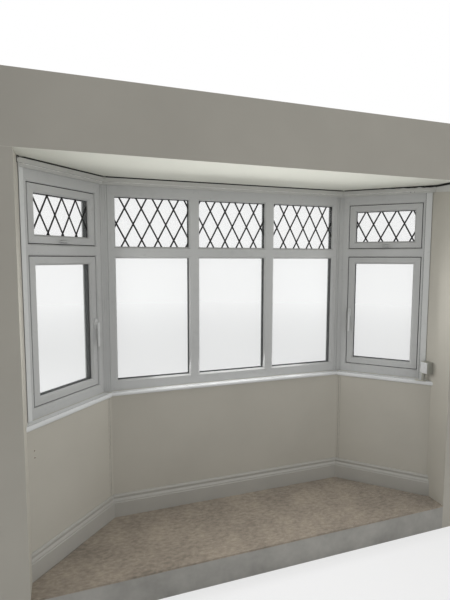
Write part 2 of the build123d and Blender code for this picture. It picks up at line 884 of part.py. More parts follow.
with BuildPart() as glass_right:
    add(panes(SIDE_PLANE, side_lights, SASH_GLASS_IN))
save(glass_right, "glass_right")

with BuildPart() as glass_left:
    mirror(glass_right.part, about=Plane.YZ)
save(glass_left, "glass_left")

# Spacer bars of the sealed units
spacer_out = SPACER_COVER + SPACER_W
with BuildPart() as spacers:
    start = FIXED_GLASS_IN + PANE_T
    add(rings(FRONT_PLANE, front_lights, SPACER_COVER, spacer_out, start, start + CAVITY))
    start = SASH_GLASS_IN + PANE_T
    side_spacers = rings(SIDE_PLANE, side_lights, SPACER_COVER, spacer_out, start, start + CAVITY)
    add(side_spacers)
    mirror(side_spacers, about=Plane.YZ)
save(spacers, "spacers")

# Glazing gaskets on both faces of each unit, and weather seals round the sashes
with BuildPart() as gaskets:
    for end in (FIXED_GLASS_IN, FIXED_STOP):
        add(rings(FRONT_PLANE, front_lights, -GASKET_LIP, GASKET_COVER, end - GASKET_T, end))
    for end in (SASH_GLASS_IN, SASH_STOP):
        ring = rings(SIDE_PLANE, side_lights, -GASKET_LIP, GASKET_COVER, end - GASKET_T, end)
        add(ring)
        mirror(ring, about=Plane.YZ)
    seal = rings(SIDE_PLANE, sash_openings, 0, SASH_GAP, SEAL_IN, SEAL_IN + SEAL_D)
    add(seal)
    mirror(seal, about=Plane.YZ)
save(gaskets, "gaskets")

# Diamond leads on the room side of the five top units
lead_slant = math.degrees(math.atan2(DIAMOND_H, DIAMOND_W))
lead_firsts = [LEAD_LEFT_LIGHT] + (FRONT_LIGHTS - 1) * [LEAD_OTHER_LIGHTS]


def lattice(plane, light, first, row, glass_in):
    """Leads over one light, crossing at a distance from its left side and above its sill."""
    x, y, width, height = light
    count = 2 * math.ceil((width + height) / DIAMOND_W) + 1
    reach = 2 * (width + height)
    with BuildPart() as made:
        with BuildSketch(plane.offset(-glass_in)):
            with Locations((x - width / 2 + first, y - height / 2 + row)):
                with GridLocations(DIAMOND_W, 0, count, 1):
                    Rectangle(reach, LEAD_W, rotation=lead_slant)
                    Rectangle(reach, LEAD_W, rotation=-lead_slant)
            with Locations((x, y)):
                inset = 2 * GASKET_LIP
                Rectangle(width - inset, height - inset, mode=Mode.INTERSECT)
        extrude(amount=LEAD_T)
    return made.part


with BuildPart() as leads:
    for light, first in zip(front_lights[FRONT_LIGHTS:], lead_firsts):
        add(lattice(FRONT_PLANE, light, first, LEAD_ROW, FIXED_GLASS_IN))
    add(lattice(SIDE_PLANE, side_lights[1], LEAD_RIGHT_FAN[0], LEAD_RIGHT_FAN[1], SASH_GLASS_IN))
    left_leads = lattice(SIDE_PLANE, side_lights[1], LEAD_LEFT_FAN[0], LEAD_LEFT_FAN[1], SASH_GLASS_IN)
    mirror(left_leads, about=Plane.YZ)
save(leads, "leads")

# Bay posts: a filler outside the corner and a ridged cover inside it
frame_end = FRONT_FRAME_W / 2
cover_left = CORNER_X - POST_COVER_W
corner_left = CORNER_X - POST_CORNER_W
cover_y = CORNER_Y - POST_COVER_T
with BuildPart() as bay_post_right:
    with BuildSketch(Plane.XY.offset(BOARD_Z)):
        Polygon(
            (frame_end, CORNER_Y),
            turn_point(0, 0),
            splay_point(0, FRAME_D),
            turn_point(FRAME_D, FRAME_D),
            (frame_end, CORNER_Y + FRAME_D),
            align=None,
        )
        Polygon(
            (cover_left, CORNER_Y),
            (cover_left, cover_y),
            (corner_left, cover_y),
            (corner_left, CORNER_Y - POST_CORNER_T),
            turn_point(-POST_CORNER_T, 0),
            turn_point(0, 0),
            align=None,
        )
        with Locations((cover_left + POST_BEAD_IN, cover_y)):
            Circle(POST_BEAD_R)
    extrude(amount=FRAME_H)
save(bay_post_right, "bay_post_right")

with BuildPart() as bay_post_left:
    mirror(bay_post_right.part, about=Plane.YZ)
save(bay_post_left, "bay_post_left")

# Casement handles, closed and hanging down
handle_x = EDGE_TO_SASH + (SASH_FACE - BEAD_W) / 2
handle_top = HANDLE_TOP_H - BOARD_H
handle_y = handle_top - HANDLE_BASE_L / 2
with BuildPart() as handle_right:
    with BuildSketch(SASH_PLANE):
        with Locations((handle_x, handle_y)):
            SlotOverall(HANDLE_BASE_L, HANDLE_BASE_W, rotation=90)
    extrude(amount=HANDLE_BASE_T)
    with BuildSketch(SASH_PLANE.offset(HANDLE_BASE_T)):
        with Locations((handle_x, handle_y)):
            Circle(HANDLE_NECK_D / 2)
    extrude(amount=HANDLE_OUT - HANDLE_BASE_T)
    with BuildSketch(SASH_PLANE.offset(HANDLE_BASE_T)):
        with Locations((handle_x, handle_top - BUTTON_D)):
            Circle(BUTTON_D / 2)
    extrude(amount=BUTTON_T)
    with BuildSketch(SASH_PLANE.offset(HANDLE_OUT)):
        with Locations((handle_x, handle_y)):
            Circle(LEVER_W / 2)
        with Locations((handle_x, handle_y - LEVER_L)):
            Circle(LEVER_TIP_W / 2)
        make_hull()
    extrude(amount=LEVER_T)
    grip = handle_right.faces().sort_by(outward)[0]
    chamfer(grip.edges(), length=LEVER_SOFT)
save(handle_right, "handle_right")

with BuildPart() as handle_left:
    mirror(handle_right.part, about=Plane.YZ)
save(handle_left, "handle_left")

# Catches on the bottom rails of the fanlights
catch_x = EDGE_TO_SASH + SASH_FACE + CATCH_FROM_POST
catch_y = FANLIGHT_MIDDLE - FANLIGHT_H / 2 + (SASH_FACE - BEAD_W) / 2
with BuildPart() as catch_right:
    with BuildSketch(SASH_PLANE):
        with Locations((catch_x, catch_y)):
            SlotOverall(CATCH_BASE_W, CATCH_BASE_H)
    extrude(amount=CATCH_BASE_T)
    with BuildSketch(SASH_PLANE.offset(CATCH_BASE_T)):
        with Locations((catch_x, catch_y)):
            Circle(CATCH_LEVER_H / 2)
    extrude(amount=CATCH_OUT - CATCH_BASE_T)
    with BuildSketch(SASH_PLANE.offset(CATCH_OUT)):
        with Locations((catch_x, catch_y)):
            SlotOverall(CATCH_LEVER_L, CATCH_LEVER_H)
    extrude(amount=CATCH_LEVER_T)

with BuildPart() as fanlight_catches:
    add(catch_right.part)
    mirror(catch_right.part, about=Plane.YZ)
save(fanlight_catches, "fanlight_catches")

# Small box on the right-hand reveal, with a stem down to the window board
box_start = BOX_FROM_MOUTH - HOUSE_WALL_T
box_plane = Plane(
    origin=(HALF_MOUTH, box_start, BOARD_Z + BOX_UP),
    x_dir=(0, 1, 0),
    z_dir=(-1, 0, 0),
)
with BuildPart() as junction_box:
    with BuildSketch(box_plane):
        with Locations((BOX_W / 2, -BOX_H / 2)):
            Rectangle(BOX_W, BOX_H)
    extrude(amount=BOX_D)
    chamfer(junction_box.faces().sort_by(Axis.X)[0].edges(), length=BOX_SOFT)
    with BuildSketch(Plane.XY.offset(BOARD_Z)):
        with Locations((HALF_MOUTH - BOX_D + BOX_STEM_IN, box_start + BOX_W - BOX_STEM_IN)):
            Circle(BOX_STEM_D / 2)
    extrude(amount=BOX_UP)
save(junction_box, "junction_box")
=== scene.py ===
import logging
import math
import random
from collections.abc import Sequence
from dataclasses import dataclass
from enum import Enum

import bpy
from mathutils import Matrix, Vector, noise


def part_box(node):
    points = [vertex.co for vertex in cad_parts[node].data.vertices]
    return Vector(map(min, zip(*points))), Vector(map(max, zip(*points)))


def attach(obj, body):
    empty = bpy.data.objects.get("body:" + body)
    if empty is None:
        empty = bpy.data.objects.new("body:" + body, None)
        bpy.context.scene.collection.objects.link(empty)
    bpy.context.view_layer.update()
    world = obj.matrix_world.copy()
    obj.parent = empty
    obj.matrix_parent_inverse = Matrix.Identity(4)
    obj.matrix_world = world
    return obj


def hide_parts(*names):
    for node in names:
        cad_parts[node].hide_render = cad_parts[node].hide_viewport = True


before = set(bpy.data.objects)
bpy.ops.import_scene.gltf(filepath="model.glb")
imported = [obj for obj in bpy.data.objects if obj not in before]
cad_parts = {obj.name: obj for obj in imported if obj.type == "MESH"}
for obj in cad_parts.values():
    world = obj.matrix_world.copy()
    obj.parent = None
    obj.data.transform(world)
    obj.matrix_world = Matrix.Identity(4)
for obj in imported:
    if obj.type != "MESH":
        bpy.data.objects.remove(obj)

LOG = logging.getLogger("bay_window")
BODY = "root"
MM = 0.001
SIGNS = (-1.0, 1.0)
UP = Vector((0.0, 0.0, 1.0))
ROOMWARDS = Vector((0.0, -1.0, 0.0))
FLIP = Matrix.Scale(-1.0, 4, (1.0, 0.0, 0.0))

Pair = tuple[float, float]
Colour = tuple[float, float, float]
Point = tuple[float, float, float]
Box = tuple[float, float, float, float]
Piece = bpy.types.Object
Socket = bpy.types.NodeSocket
Inputs = dict[str | int, Socket | float | tuple]


class NodeBoard:
    """A node tree, with short ways to add to it."""

    def __init__(self, tree: bpy.types.NodeTree) -> None:
        """Start with an empty tree."""
        self.tree = tree
        tree.nodes.clear()

    def node(self, kind: str, inputs: Inputs, **settings: str | bool) -> bpy.types.Node:
        """A new node, each input linked to a socket or set to a constant.

        Args:
            kind: Its type, without the leading ShaderNode.
            inputs: A socket or a constant by the input's name or number.
            settings: Its own settings.

        Returns:
            The node.
        """
        node = self.tree.nodes.new(f"ShaderNode{kind}")
        for name, value in settings.items():
            setattr(node, name, value)
        for key, value in inputs.items():
            if isinstance(value, Socket):
                self.tree.links.new(value, node.inputs[key])
            else:
                node.inputs[key].default_value = value
        return node

    def place(self, scale: Point = (1.0, 1.0, 1.0), turn: float = 0.0) -> Socket:
        """Object coordinates, scaled and turned.

        Args:
            scale: Scale along each axis.
            turn: Turn about Z in radians.

        Returns:
            The vector.
        """
        where = self.node("TexCoord", {}).outputs["Object"]
        inputs = {"Vector": where, "Scale": scale, "Rotation": (0.0, 0.0, turn)}
        return self.node("Mapping", inputs).outputs["Vector"]

    def noise(self, vector: Socket, scale: float, detail: float = 4.0, rough: float = 0.55) -> Socket:
        """Fractal noise from 0 to 1, by its waves per metre, its finer layers and their share."""
        inputs = {"Vector": vector, "Scale": scale, "Detail": detail, "Roughness": rough}
        return self.node("TexNoise", inputs).outputs["Fac"]

    def cells(self, vector: Socket, scale: float) -> Socket:
        """Distance to the nearest of scattered points, for grains and pits."""
        return self.node("TexVoronoi", {"Vector": vector, "Scale": scale}).outputs["Distance"]

    def ramp(self, value: Socket, stops: Sequence[tuple[float, Colour]]) -> Socket:
        """Colours along a value.

        Args:
            value: The value that is read.
            stops: Places and colours in rising order.

        Returns:
            The colour.
        """
        node = self.node("ValToRGB", {"Fac": value})
        band = node.color_ramp
        while len(band.elements) < len(stops):
            band.elements.new(1.0)
        for element, (position, colour) in zip(band.elements, stops):
            element.position = position
            element.color = (*colour, 1.0)
        return node.outputs["Color"]

    def mix(self, share: Socket, first: Socket, second: Socket) -> Socket:
        """Blend two colours by a share from 0 to 1."""
        return self.node("Mix", {"Factor": share, 6: first, 7: second}, data_type="RGBA").outputs[2]

    def maths(self, operation: str, first: Socket, second: Socket | float) -> Socket:
        """A Math node's result, kept between 0 and 1 except for ABSOLUTE."""
        settings = {"operation": operation, "use_clamp": operation != "ABSOLUTE"}
        return self.node("Math", {0: first, 1: second}, **settings).outputs["Value"]

    def blend(self, first: Socket, share: float, second: Socket, rest: float) -> Socket:
        """The sum of two values, each times its share."""
        part = self.maths("MULTIPLY", first, share)
        return self.maths("ADD", part, self.maths("MULTIPLY", second, rest))

    def span(self, value: Socket, low: float, high: float, to_low: float, to_high: float) -> Socket:
        """Map a value from one range to another, kept within it."""
        inputs = {"Value": value, 1: low, 2: high, 3: to_low, 4: to_high}
        return self.node("MapRange", inputs).outputs["Result"]

    def axis(self, vector: Socket, name: str) -> Socket:
        """One of X, Y and Z of a vector."""
        return self.node("SeparateXYZ", {"Vector": vector}).outputs[name]

    def bump(self, height: Socket, distance: float, strength: float, over: Socket | None = None) -> Socket:
        """Small relief, by its height in metres and how much shows, lying on another relief or none."""
        inputs = {"Height": height, "Distance": distance, "Strength": strength}
        return self.node("Bump", inputs if over is None else inputs | {"Normal": over}).outputs["Normal"]

    def lay(self, colour: Socket, rough: Socket | float, relief: Socket | None, **more: float) -> Socket:
        """The surface of a Principled shader.

        Args:
            colour: Its base colour.
            rough: Its roughness.
            relief: Its relief, if any.
            more: Constants on its other inputs, underscores standing for spaces.

        Returns:
            The surface.
        """
        inputs = {"Base Color": colour, "Roughness": rough}
        inputs |= {name.replace("_", " "): value for name, value in more.items()}
        if relief is not None:
            inputs["Normal"] = relief
        return self.node("BsdfPrincipled", inputs).outputs["BSDF"]

    def seen(self) -> Socket:
        """1 where the camera, a reflection or a view through glass sees the surface, else 0.

        Returns:
            The value.
        """
        rays = self.node("LightPath", {}).outputs
        direct = self.maths("MAXIMUM", rays["Is Camera Ray"], rays["Is Glossy Ray"])
        return self.maths("MAXIMUM", direct, rays["Is Transmission Ray"])


def shade(colour: Colour, factor: float) -> Colour:
    """The colour made lighter or darker by a factor, up to white."""
    return tuple(min(1.0, part * factor) for part in colour)


@dataclass(frozen=True)
class Finish:
    """One procedural finish, made once and shared."""

    name: str
    colour: Colour = (0.5, 0.5, 0.5)

    def material(self) -> bpy.types.Material:
        """The finish's material, painted on first use.

        Returns:
            The material.
        """
        made = bpy.data.materials.get(self.name)
        if made is None:
            made = bpy.data.materials.new(self.name)
            made.use_nodes = True
            board = NodeBoard(made.node_tree)
            board.node("OutputMaterial", {"Surface": self.paint(board)})
        return made

    def paint(self, board: NodeBoard) -> Socket:
        """Write the finish's nodes on a board and give its surface.

        Args:
            board: The tree to write on.

        Returns:
            The surface.
        """
        raise NotImplementedError

    def tones(self, board: NodeBoard, value: Socket, *stops: Pair, of: Colour | None = None) -> Socket:
        """The finish's colour, or another one, along a value by stops of a place and a factor."""
        return board.ramp(value, [(place, shade(of or self.colour, factor)) for place, factor in stops])


@dataclass(frozen=True)
class Emulsion(Finish):
    """Matt wall paint with roller stipple, faint filling patches and grubby places."""

    patch: float = 0.05
    stipple: float = 0.5 * MM

    def paint(self, board: NodeBoard) -> Socket:
        """Write the paint's colour, patches and stipple.

        Args:
            board: The tree to write on.

        Returns:
            The surface.
        """
        where = board.place()
        broad = board.noise(where, 2.3, 3.0)
        fine = board.noise(where, 45.0, 5.0, 0.7)
        blend = board.blend(broad, 0.8, fine, 0.2)
        stops = ((0.3, 1.0 - self.patch), (0.5, 1.0), (0.7, 1.0 + 0.6 * self.patch))
        colour = self.tones(board, blend, *stops)
        relief = board.bump(broad, 1.2 * MM, 0.5)
        relief = board.bump(board.noise(where, 420.0, 2.0), self.stipple, 0.35, relief)
        return board.lay(colour, board.span(fine, 0.3, 0.7, 0.72, 0.86), relief)


@dataclass(frozen=True)
class HouseWall(Finish):
    """The house wall: room paint inside, ceiling paint under the mouth, cut masonry elsewhere."""

    soffit: Colour = (0.6, 0.6, 0.6)
    soffit_z: float = 2.31
    cut_x: float = 1.5
    mortar: Colour = (0.5, 0.47, 0.42)

    def paint(self, board: NodeBoard) -> Socket:
        """Write the colour by place: outside face, cut ends, soffit and room face.

        Args:
            board: The tree to write on.

        Returns:
            The surface.
        """
        where = board.place()
        side, out, up = (board.axis(where, name) for name in "XYZ")
        broad = board.noise(where, 2.1, 3.0)
        fine = board.noise(where, 260.0, 3.0)
        room = self.tones(board, broad, (0.3, 0.95), (0.7, 1.03))
        soffit = self.tones(board, broad, (0.3, 0.97), (0.7, 1.0), of=self.soffit)
        masonry = self.tones(board, fine, (0.35, 0.8), (0.65, 1.1), of=self.mortar)
        below = board.span(up, self.soffit_z + 0.5 * MM, self.soffit_z + 0.6 * MM, 1.0, 0.0)
        above = board.span(up, self.soffit_z - 0.5 * MM, self.soffit_z - 0.4 * MM, 0.0, 1.0)
        outside = board.span(out, -0.6 * MM, -0.5 * MM, 0.0, 1.0)
        reach = board.maths("ABSOLUTE", side, 0.0)
        cut = board.span(reach, self.cut_x - 0.6 * MM, self.cut_x - 0.5 * MM, 0.0, 1.0)
        colour = board.mix(board.maths("MULTIPLY", below, above), room, soffit)
        colour = board.mix(board.maths("MAXIMUM", outside, cut), colour, masonry)
        relief = board.bump(fine, 0.5 * MM, 0.35, board.bump(broad, 1.2 * MM, 0.5))
        return board.lay(colour, 0.8, relief)


@dataclass(frozen=True)
class Gloss(Finish):
    """Brushed gloss paint on wood, with brush lines along the run and small knocks."""

    turn: float = 0.0
    knocks: float = 0.25

    def paint(self, board: NodeBoard) -> Socket:
        """Write the paint's colour, brush lines and knocks.

        Args:
            board: The tree to write on.

        Returns:
            The surface.
        """
        where = board.place()
        broad = board.noise(where, 5.0, 4.0)
        pits = board.span(board.cells(where, 13.0), 0.02, 0.055, 1.0, 0.0)
        rare = board.span(board.noise(where, 7.0, 1.0), 0.62, 0.66, 0.0, self.knocks)
        clean = self.tones(board, broad, (0.3, 0.94), (0.65, 1.0))
        grime = self.tones(board, broad, (0.0, 0.42), (1.0, 0.5))
        colour = board.mix(board.maths("MULTIPLY", pits, rare), clean, grime)
        drawn = board.noise(board.place((3.0, 160.0, 160.0), self.turn), 1.0, 2.0)
        brush = board.bump(drawn, 0.25 * MM, 0.35)
        sag = board.bump(board.noise(where, 22.0, 2.0), 0.5 * MM, 0.25, brush)
        rough = board.span(broad, 0.2, 0.8, 0.26, 0.42)
        return board.lay(colour, rough, sag, Coat_Weight=0.15, Coat_Roughness=0.2)


@dataclass(frozen=True)
class Profile(Finish):
    """White extruded window profile, with a soft shine and faint grime."""

    grime: float = 0.1

    def paint(self, board: NodeBoard) -> Socket:
        """Write the plastic's colour, grime and shine.

        Args:
            board: The tree to write on.

        Returns:
            The surface.
        """
        where = board.place()
        streaks = board.noise(where, 24.0, 5.0, 0.6)
        dull = board.maths("MULTIPLY", streaks, board.noise(where, 3.0, 3.0))
        colour = self.tones(board, dull, (0.1, 1.02), (0.3, 1.0), (0.55, 1.0 - self.grime))
        relief = board.bump(board.noise(where, 7.0, 1.0), 0.4 * MM, 0.12)
        return board.lay(colour, board.span(streaks, 0.2, 0.8, 0.24, 0.38), relief, Specular_IOR_Level=0.4)


@dataclass(frozen=True)
class Pane(Finish):
    """Clear float glass, seen through."""

    body: float = 0.06

    def paint(self, board: NodeBoard) -> Socket:
        """Write the glass's clearness, shine and slight waviness.

        Args:
            board: The tree to write on.

        Returns:
            The surface.
        """
        film = board.noise(board.place(), 6.0, 3.0)
        colour = self.tones(board, film, (0.3, 0.97), (0.7, 1.0))
        relief = board.bump(film, 0.6 * MM, 0.1)
        return board.lay(colour, 0.03, relief, Alpha=self.body, IOR=1.5, Specular_IOR_Level=0.25)


@dataclass(frozen=True)
class Mottled(Finish):
    """A plain surface whose colour and roughness are mottled by one noise."""

    rough: float = 0.55
    rougher: float = 0.15
    grain: tuple[float, ...] = (90.0, 3.0)
    stops: tuple[Pair, ...] = ((0.4, 1.0), (0.8, 2.0))
    relief: Pair = (0.1 * MM, 0.3)
    peel: float = 0.0
    metal: float = 0.0
    specular: float = 0.5

    def paint(self, board: NodeBoard) -> Socket:
        """Write the mottled colour and roughness, and a relief that may be a fine peel.

        Args:
            board: The tree to write on.

        Returns:
            The surface.
        """
        where = board.place()
        mottle = board.noise(where, *self.grain)
        skin = board.noise(where, self.peel, 1.0) if self.peel else mottle
        rough = board.span(mottle, 0.2, 0.8, self.rough, self.rough + self.rougher)
        colour = self.tones(board, mottle, *self.stops)
        relief = board.bump(skin, *self.relief)
        return board.lay(colour, rough, relief, Metallic=self.metal, Specular_IOR_Level=self.specular)


@dataclass(frozen=True)
class Rubber(Mottled):
    """Black rubber or another dull dark strip."""


@dataclass(frozen=True)
class Lead(Mottled):
    """Dull dark lead strip, mottled brighter in patches."""

    rough: float = 0.45
    rougher: float = 0.25
    grain: tuple[float, ...] = (60.0, 5.0, 0.7)
    stops: tuple[Pair, ...] = ((0.3, 0.6), (0.6, 1.0), (0.8, 2.2))
    relief: Pair = (0.3 * MM, 0.5)
    specular: float = 0.3


@dataclass(frozen=True)
class Coat(Mottled):
    """Coated metal, moulded plastic or caulk, with handling marks and a fine peel."""

    rough: float = 0.3
    rougher: float = 0.14
    grain: tuple[float, ...] = (40.0, 4.0)
    stops: tuple[Pair, ...] = ((0.3, 0.9), (0.6, 1.0))
    relief: Pair = (0.08 * MM, 0.4)
    peel: float = 700.0


@dataclass(frozen=True)
class Mortar(Finish):
    """Sandy mortar behind and between the bricks."""

    def paint(self, board: NodeBoard) -> Socket:
        """Write the mortar's grains and stains.

        Args:
            board: The tree to write on.

        Returns:
            The surface.
        """
        where = board.place()
        grains = board.noise(where, 320.0, 4.0, 0.7)
        dark = self.tones(board, grains, (0.3, 0.62), (0.7, 0.9))
        pale = self.tones(board, grains, (0.3, 0.85), (0.7, 1.15))
        colour = board.mix(board.noise(where, 5.0, 4.0), dark, pale)
        return board.lay(colour, 0.92, board.bump(grains, 1.4 * MM, 0.7))


@dataclass(frozen=True)
class Brick(Finish):
    """Sand-faced brick; each brick's own tone is kept on its faces."""

    dark: Colour = (0.24, 0.09, 0.06)

    def paint(self, board: NodeBoard) -> Socket:
        """Write the brick's tone, burnt patches, sand and pits.

        Args:
            board: The tree to write on.

        Returns:
            The surface.
        """
        where = board.place()
        tone = board.node("Attribute", {}, attribute_name="tone").outputs["Fac"]
        share = board.blend(tone, 0.65, board.noise(where, 14.0, 5.0, 0.65), 0.45)
        sand = board.noise(where, 380.0, 3.0, 0.7)
        body = board.ramp(share, [(0.15, self.dark), (0.5, shade(self.colour, 0.75)), (0.85, self.colour)])
        salt = board.ramp(sand, [(0.2, shade(self.dark, 0.7)), (0.8, shade(self.colour, 1.45))])
        colour = board.mix(board.span(sand, 0.56, 0.75, 0.0, 0.4), body, salt)
        pits = board.span(board.cells(where, 160.0), 0.05, 0.3, 0.0, 1.0)
        return board.lay(colour, 0.88, board.bump(sand, 0.7 * MM, 0.5, board.bump(pits, 0.7 * MM, 0.5)))


@dataclass(frozen=True)
class Pile(Finish):
    """Short cut pile, brushed pale and dark by use."""

    def paint(self, board: NodeBoard) -> Socket:
        """Write the pile's tufts, lie and fluff.

        Args:
            board: The tree to write on.

        Returns:
            The surface.
        """
        where = board.place()
        lie = board.noise(where, 4.5, 3.0, 0.5)
        foot = board.noise(board.place((1.0, 1.8, 1.0), 0.5), 30.0, 5.0, 0.72)
        tuft = board.cells(where, 420.0)
        share = board.blend(lie, 0.35, foot, 0.65)
        base = self.tones(board, share, (0.38, 0.66), (0.5, 1.0), (0.62, 1.32))
        deep = self.tones(board, share, (0.3, 0.4), (0.7, 0.8))
        colour = board.mix(board.span(tuft, 0.25, 0.6, 0.0, 0.45), base, deep)
        relief = board.bump(tuft, -1.8 * MM, 0.8, board.bump(share, 3.0 * MM, 0.6))
        relief = board.bump(board.noise(where, 900.0, 3.0, 0.7), 0.8 * MM, 0.6, relief)
        sheen = {"Sheen_Weight": 0.25, "Sheen_Roughness": 0.6, "Specular_IOR_Level": 0.15}
        return board.lay(colour, 0.95, relief, **sheen)


@dataclass(frozen=True)
class Grain(Finish):
    """Sawn softwood with growth rings along the run."""

    def paint(self, board: NodeBoard) -> Socket:
        """Write the wood's grain and saw marks.

        Args:
            board: The tree to write on.

        Returns:
            The surface.
        """
        grain = board.noise(board.place((2.0, 28.0, 28.0)), 1.0, 5.0, 0.65)
        saw = board.noise(board.place((260.0, 8.0, 8.0)), 1.0, 1.0)
        colour = self.tones(board, grain, (0.35, 0.7), (0.65, 1.15))
        return board.lay(colour, 0.8, board.bump(saw, 0.4 * MM, 0.4))


@dataclass(frozen=True)
class Slab(Finish):
    """Floated concrete with pores and tide marks."""

    def paint(self, board: NodeBoard) -> Socket:
        """Write the concrete's clouds and pores.

        Args:
            board: The tree to write on.

        Returns:
            The surface.
        """
        where = board.place()
        pores = board.span(board.cells(where, 95.0), 0.03, 0.12, 0.0, 1.0)
        colour = self.tones(board, board.noise(where, 4.0, 6.0, 0.65), (0.3, 0.75), (0.7, 1.12))
        return board.lay(colour, 0.9, board.bump(pores, 0.9 * MM, 0.6))


@dataclass(frozen=True)
class RoofSheet(Finish):
    """Weathered grey sheet with runs of white bloom."""

    def paint(self, board: NodeBoard) -> Socket:
        """Write the sheet's bloom, runs and dents.

        Args:
            board: The tree to write on.

        Returns:
            The surface.
        """
        where = board.place()
        runs = board.noise(board.place((26.0, 2.5, 2.5)), 1.0, 5.0, 0.6)
        cloud = board.noise(where, 7.0, 5.0, 0.6)
        share = board.maths("MULTIPLY", runs, cloud)
        colour = self.tones(board, share, (0.12, 0.75), (0.28, 1.0), (0.45, 1.7))
        relief = board.bump(board.noise(where, 11.0, 2.0), 2.5 * MM, 0.35)
        return board.lay(colour, board.span(cloud, 0.2, 0.8, 0.42, 0.66), relief, Metallic=0.35)


@dataclass(frozen=True)
class StudioFloor(Finish):
    """The studio's pale floor, white where it is seen from afar, its shadow kept."""

    lift: float = 0.7
    fade_from: float = 5.0
    fade_to: float = 16.0

    def paint(self, board: NodeBoard) -> Socket:
        """Write the floor's colour and bring it towards white where the camera or a reflection sees it.

        Args:
            board: The tree to write on.

        Returns:
            The surface.
        """
        where = board.place()
        cloud = board.noise(where, 0.6, 2.0)
        pale = board.lay(self.tones(board, cloud, (0.3, 0.78), (0.7, 0.8)), 0.9, None)
        far = board.node("VectorMath", {0: where}, operation="LENGTH").outputs["Value"]
        share = board.span(far, self.fade_from, self.fade_to, self.lift, 1.0)
        glow = board.node("Emission", {}).outputs["Emission"]
        inputs = {"Fac": board.maths("MULTIPLY", board.seen(), share), 1: pale, 2: glow}
        return board.node("MixShader", inputs).outputs["Shader"]


class Tone(Enum):
    """The object's own colours, linear."""

    WALL = (0.5, 0.478, 0.42)
    CEILING = (0.72, 0.725, 0.65)
    JOINERY = (0.55, 0.55, 0.525)
    SKIRTING = (0.46, 0.45, 0.415)
    BOARD = (0.74, 0.75, 0.75)
    PLASTIC = (0.52, 0.525, 0.518)
    FITTING = (0.68, 0.685, 0.68)


PROFILE = Profile("finish_profile", Tone.PLASTIC.value)
EDGE_TRIM = Profile("finish_edge_trim", Tone.PLASTIC.value, 0.2)
# Painted light: the cover strips are the frames' own plastic, made lighter to stand in for the window light
# falling on them.
COVER_STRIP_LIT = Profile("finish_cover_strip_lit", (0.66, 0.67, 0.66), 0.14)
WALL_PAINT = Emulsion("finish_wall", Tone.WALL.value)
CEILING_PAINT = Emulsion("finish_ceiling", Tone.CEILING.value, 0.04)
GLOSS = Gloss("finish_gloss", Tone.JOINERY.value)
SKIRTING = Gloss("finish_skirting", Tone.SKIRTING.value)
BOARD_FRONT = Gloss("finish_board_front", Tone.BOARD.value)
BOARD_RIGHT = Gloss("finish_board_right", Tone.BOARD.value, math.radians(45.0))
BOARD_LEFT = Gloss("finish_board_left", Tone.BOARD.value, math.radians(-45.0))
GLASS = Pane("finish_glass", (0.9, 0.95, 0.95))
LEAD = Lead("finish_lead", (0.014, 0.014, 0.014))
SOLDER = Lead("finish_solder", (0.03, 0.03, 0.03), metal=0.2)
RUBBER = Rubber("finish_rubber", (0.012, 0.012, 0.013))
SPACER = Rubber("finish_spacer", (0.008, 0.008, 0.008), 0.6)
SHADOW_LINE = Rubber("finish_shadow_line", (0.012, 0.012, 0.011), 0.8)
WELD = Rubber("finish_weld", (0.3, 0.3, 0.29), 0.6)
FITTING = Coat("finish_fitting", Tone.FITTING.value)
# Painted shade: the catches' bases and necks are near black to stand in for the shade under the levers.
CATCH_BASE_SHADE = Coat("finish_catch_base_shade", (0.07, 0.07, 0.068), 0.42)
CATCH_LEVER = Coat("finish_catch_lever", (0.5, 0.505, 0.5))
PLUG = Coat("finish_plug", (0.16, 0.1, 0.08), 0.6)
# Painted shade: the box's body is darker than its white lid, standing in for the shade on its faces turned
# to the room.
BOX_BODY_SHADE = Coat("finish_box_body_shade", (0.33, 0.33, 0.29), 0.45)
BOX_PLASTIC = Coat("finish_box", Tone.FITTING.value, 0.42)
COARSE = (0.4 * MM, 0.4)
CAULK = Coat("finish_caulk", (0.56, 0.54, 0.47), 0.5, relief=COARSE)
TRIM_CAULK = Coat("finish_trim_caulk", (0.86, 0.86, 0.82), 0.5, relief=COARSE)
SEALANT = Coat("finish_sealant", (0.5, 0.48, 0.41), 0.5, relief=COARSE)
MORTAR = Mortar("finish_mortar", (0.5, 0.47, 0.41))
BRICK = Brick("finish_brick", (0.47, 0.22, 0.13))
PILE = Pile("finish_pile", (0.37, 0.312, 0.245))
TIMBER = Grain("finish_timber", (0.5, 0.34, 0.2))
CONCRETE = Slab("finish_concrete", (0.42, 0.41, 0.38))
ROOF_SHEET = RoofSheet("finish_roof_sheet", (0.2, 0.21, 0.22))
STUDIO_FLOOR = StudioFloor("finish_studio_floor", (1.0, 1.0, 1.0))


def low_of(node: str) -> Vector:
    """A CAD node's lowest corner."""
    return Vector(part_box(node)[0])


def high_of(node: str) -> Vector:
    """A CAD node's highest corner."""
    return Vector(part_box(node)[1])


SLANT = math.radians(45.0)
HALF_TAN = math.tan(SLANT / 2)
FRONT_LOW = low_of("frame_front")
FRONT_HIGH = high_of("frame_front")
FRAME_Y = FRONT_LOW.y
FRAME_D = FRONT_HIGH.y - FRONT_LOW.y
FRAME_Z = FRONT_LOW.z
FRAME_H = FRONT_HIGH.z - FRONT_LOW.z
CORNER_X = low_of("frame_right").x
MOUTH_X = high_of("carpet").x
CEILING_Z = low_of("bay_ceiling").z
PARTY_X = high_of("header_wall").x


class Side(Enum):
    """The three faces of the bay."""

    FRONT = "front"
    RIGHT = "right"
    LEFT = "left"


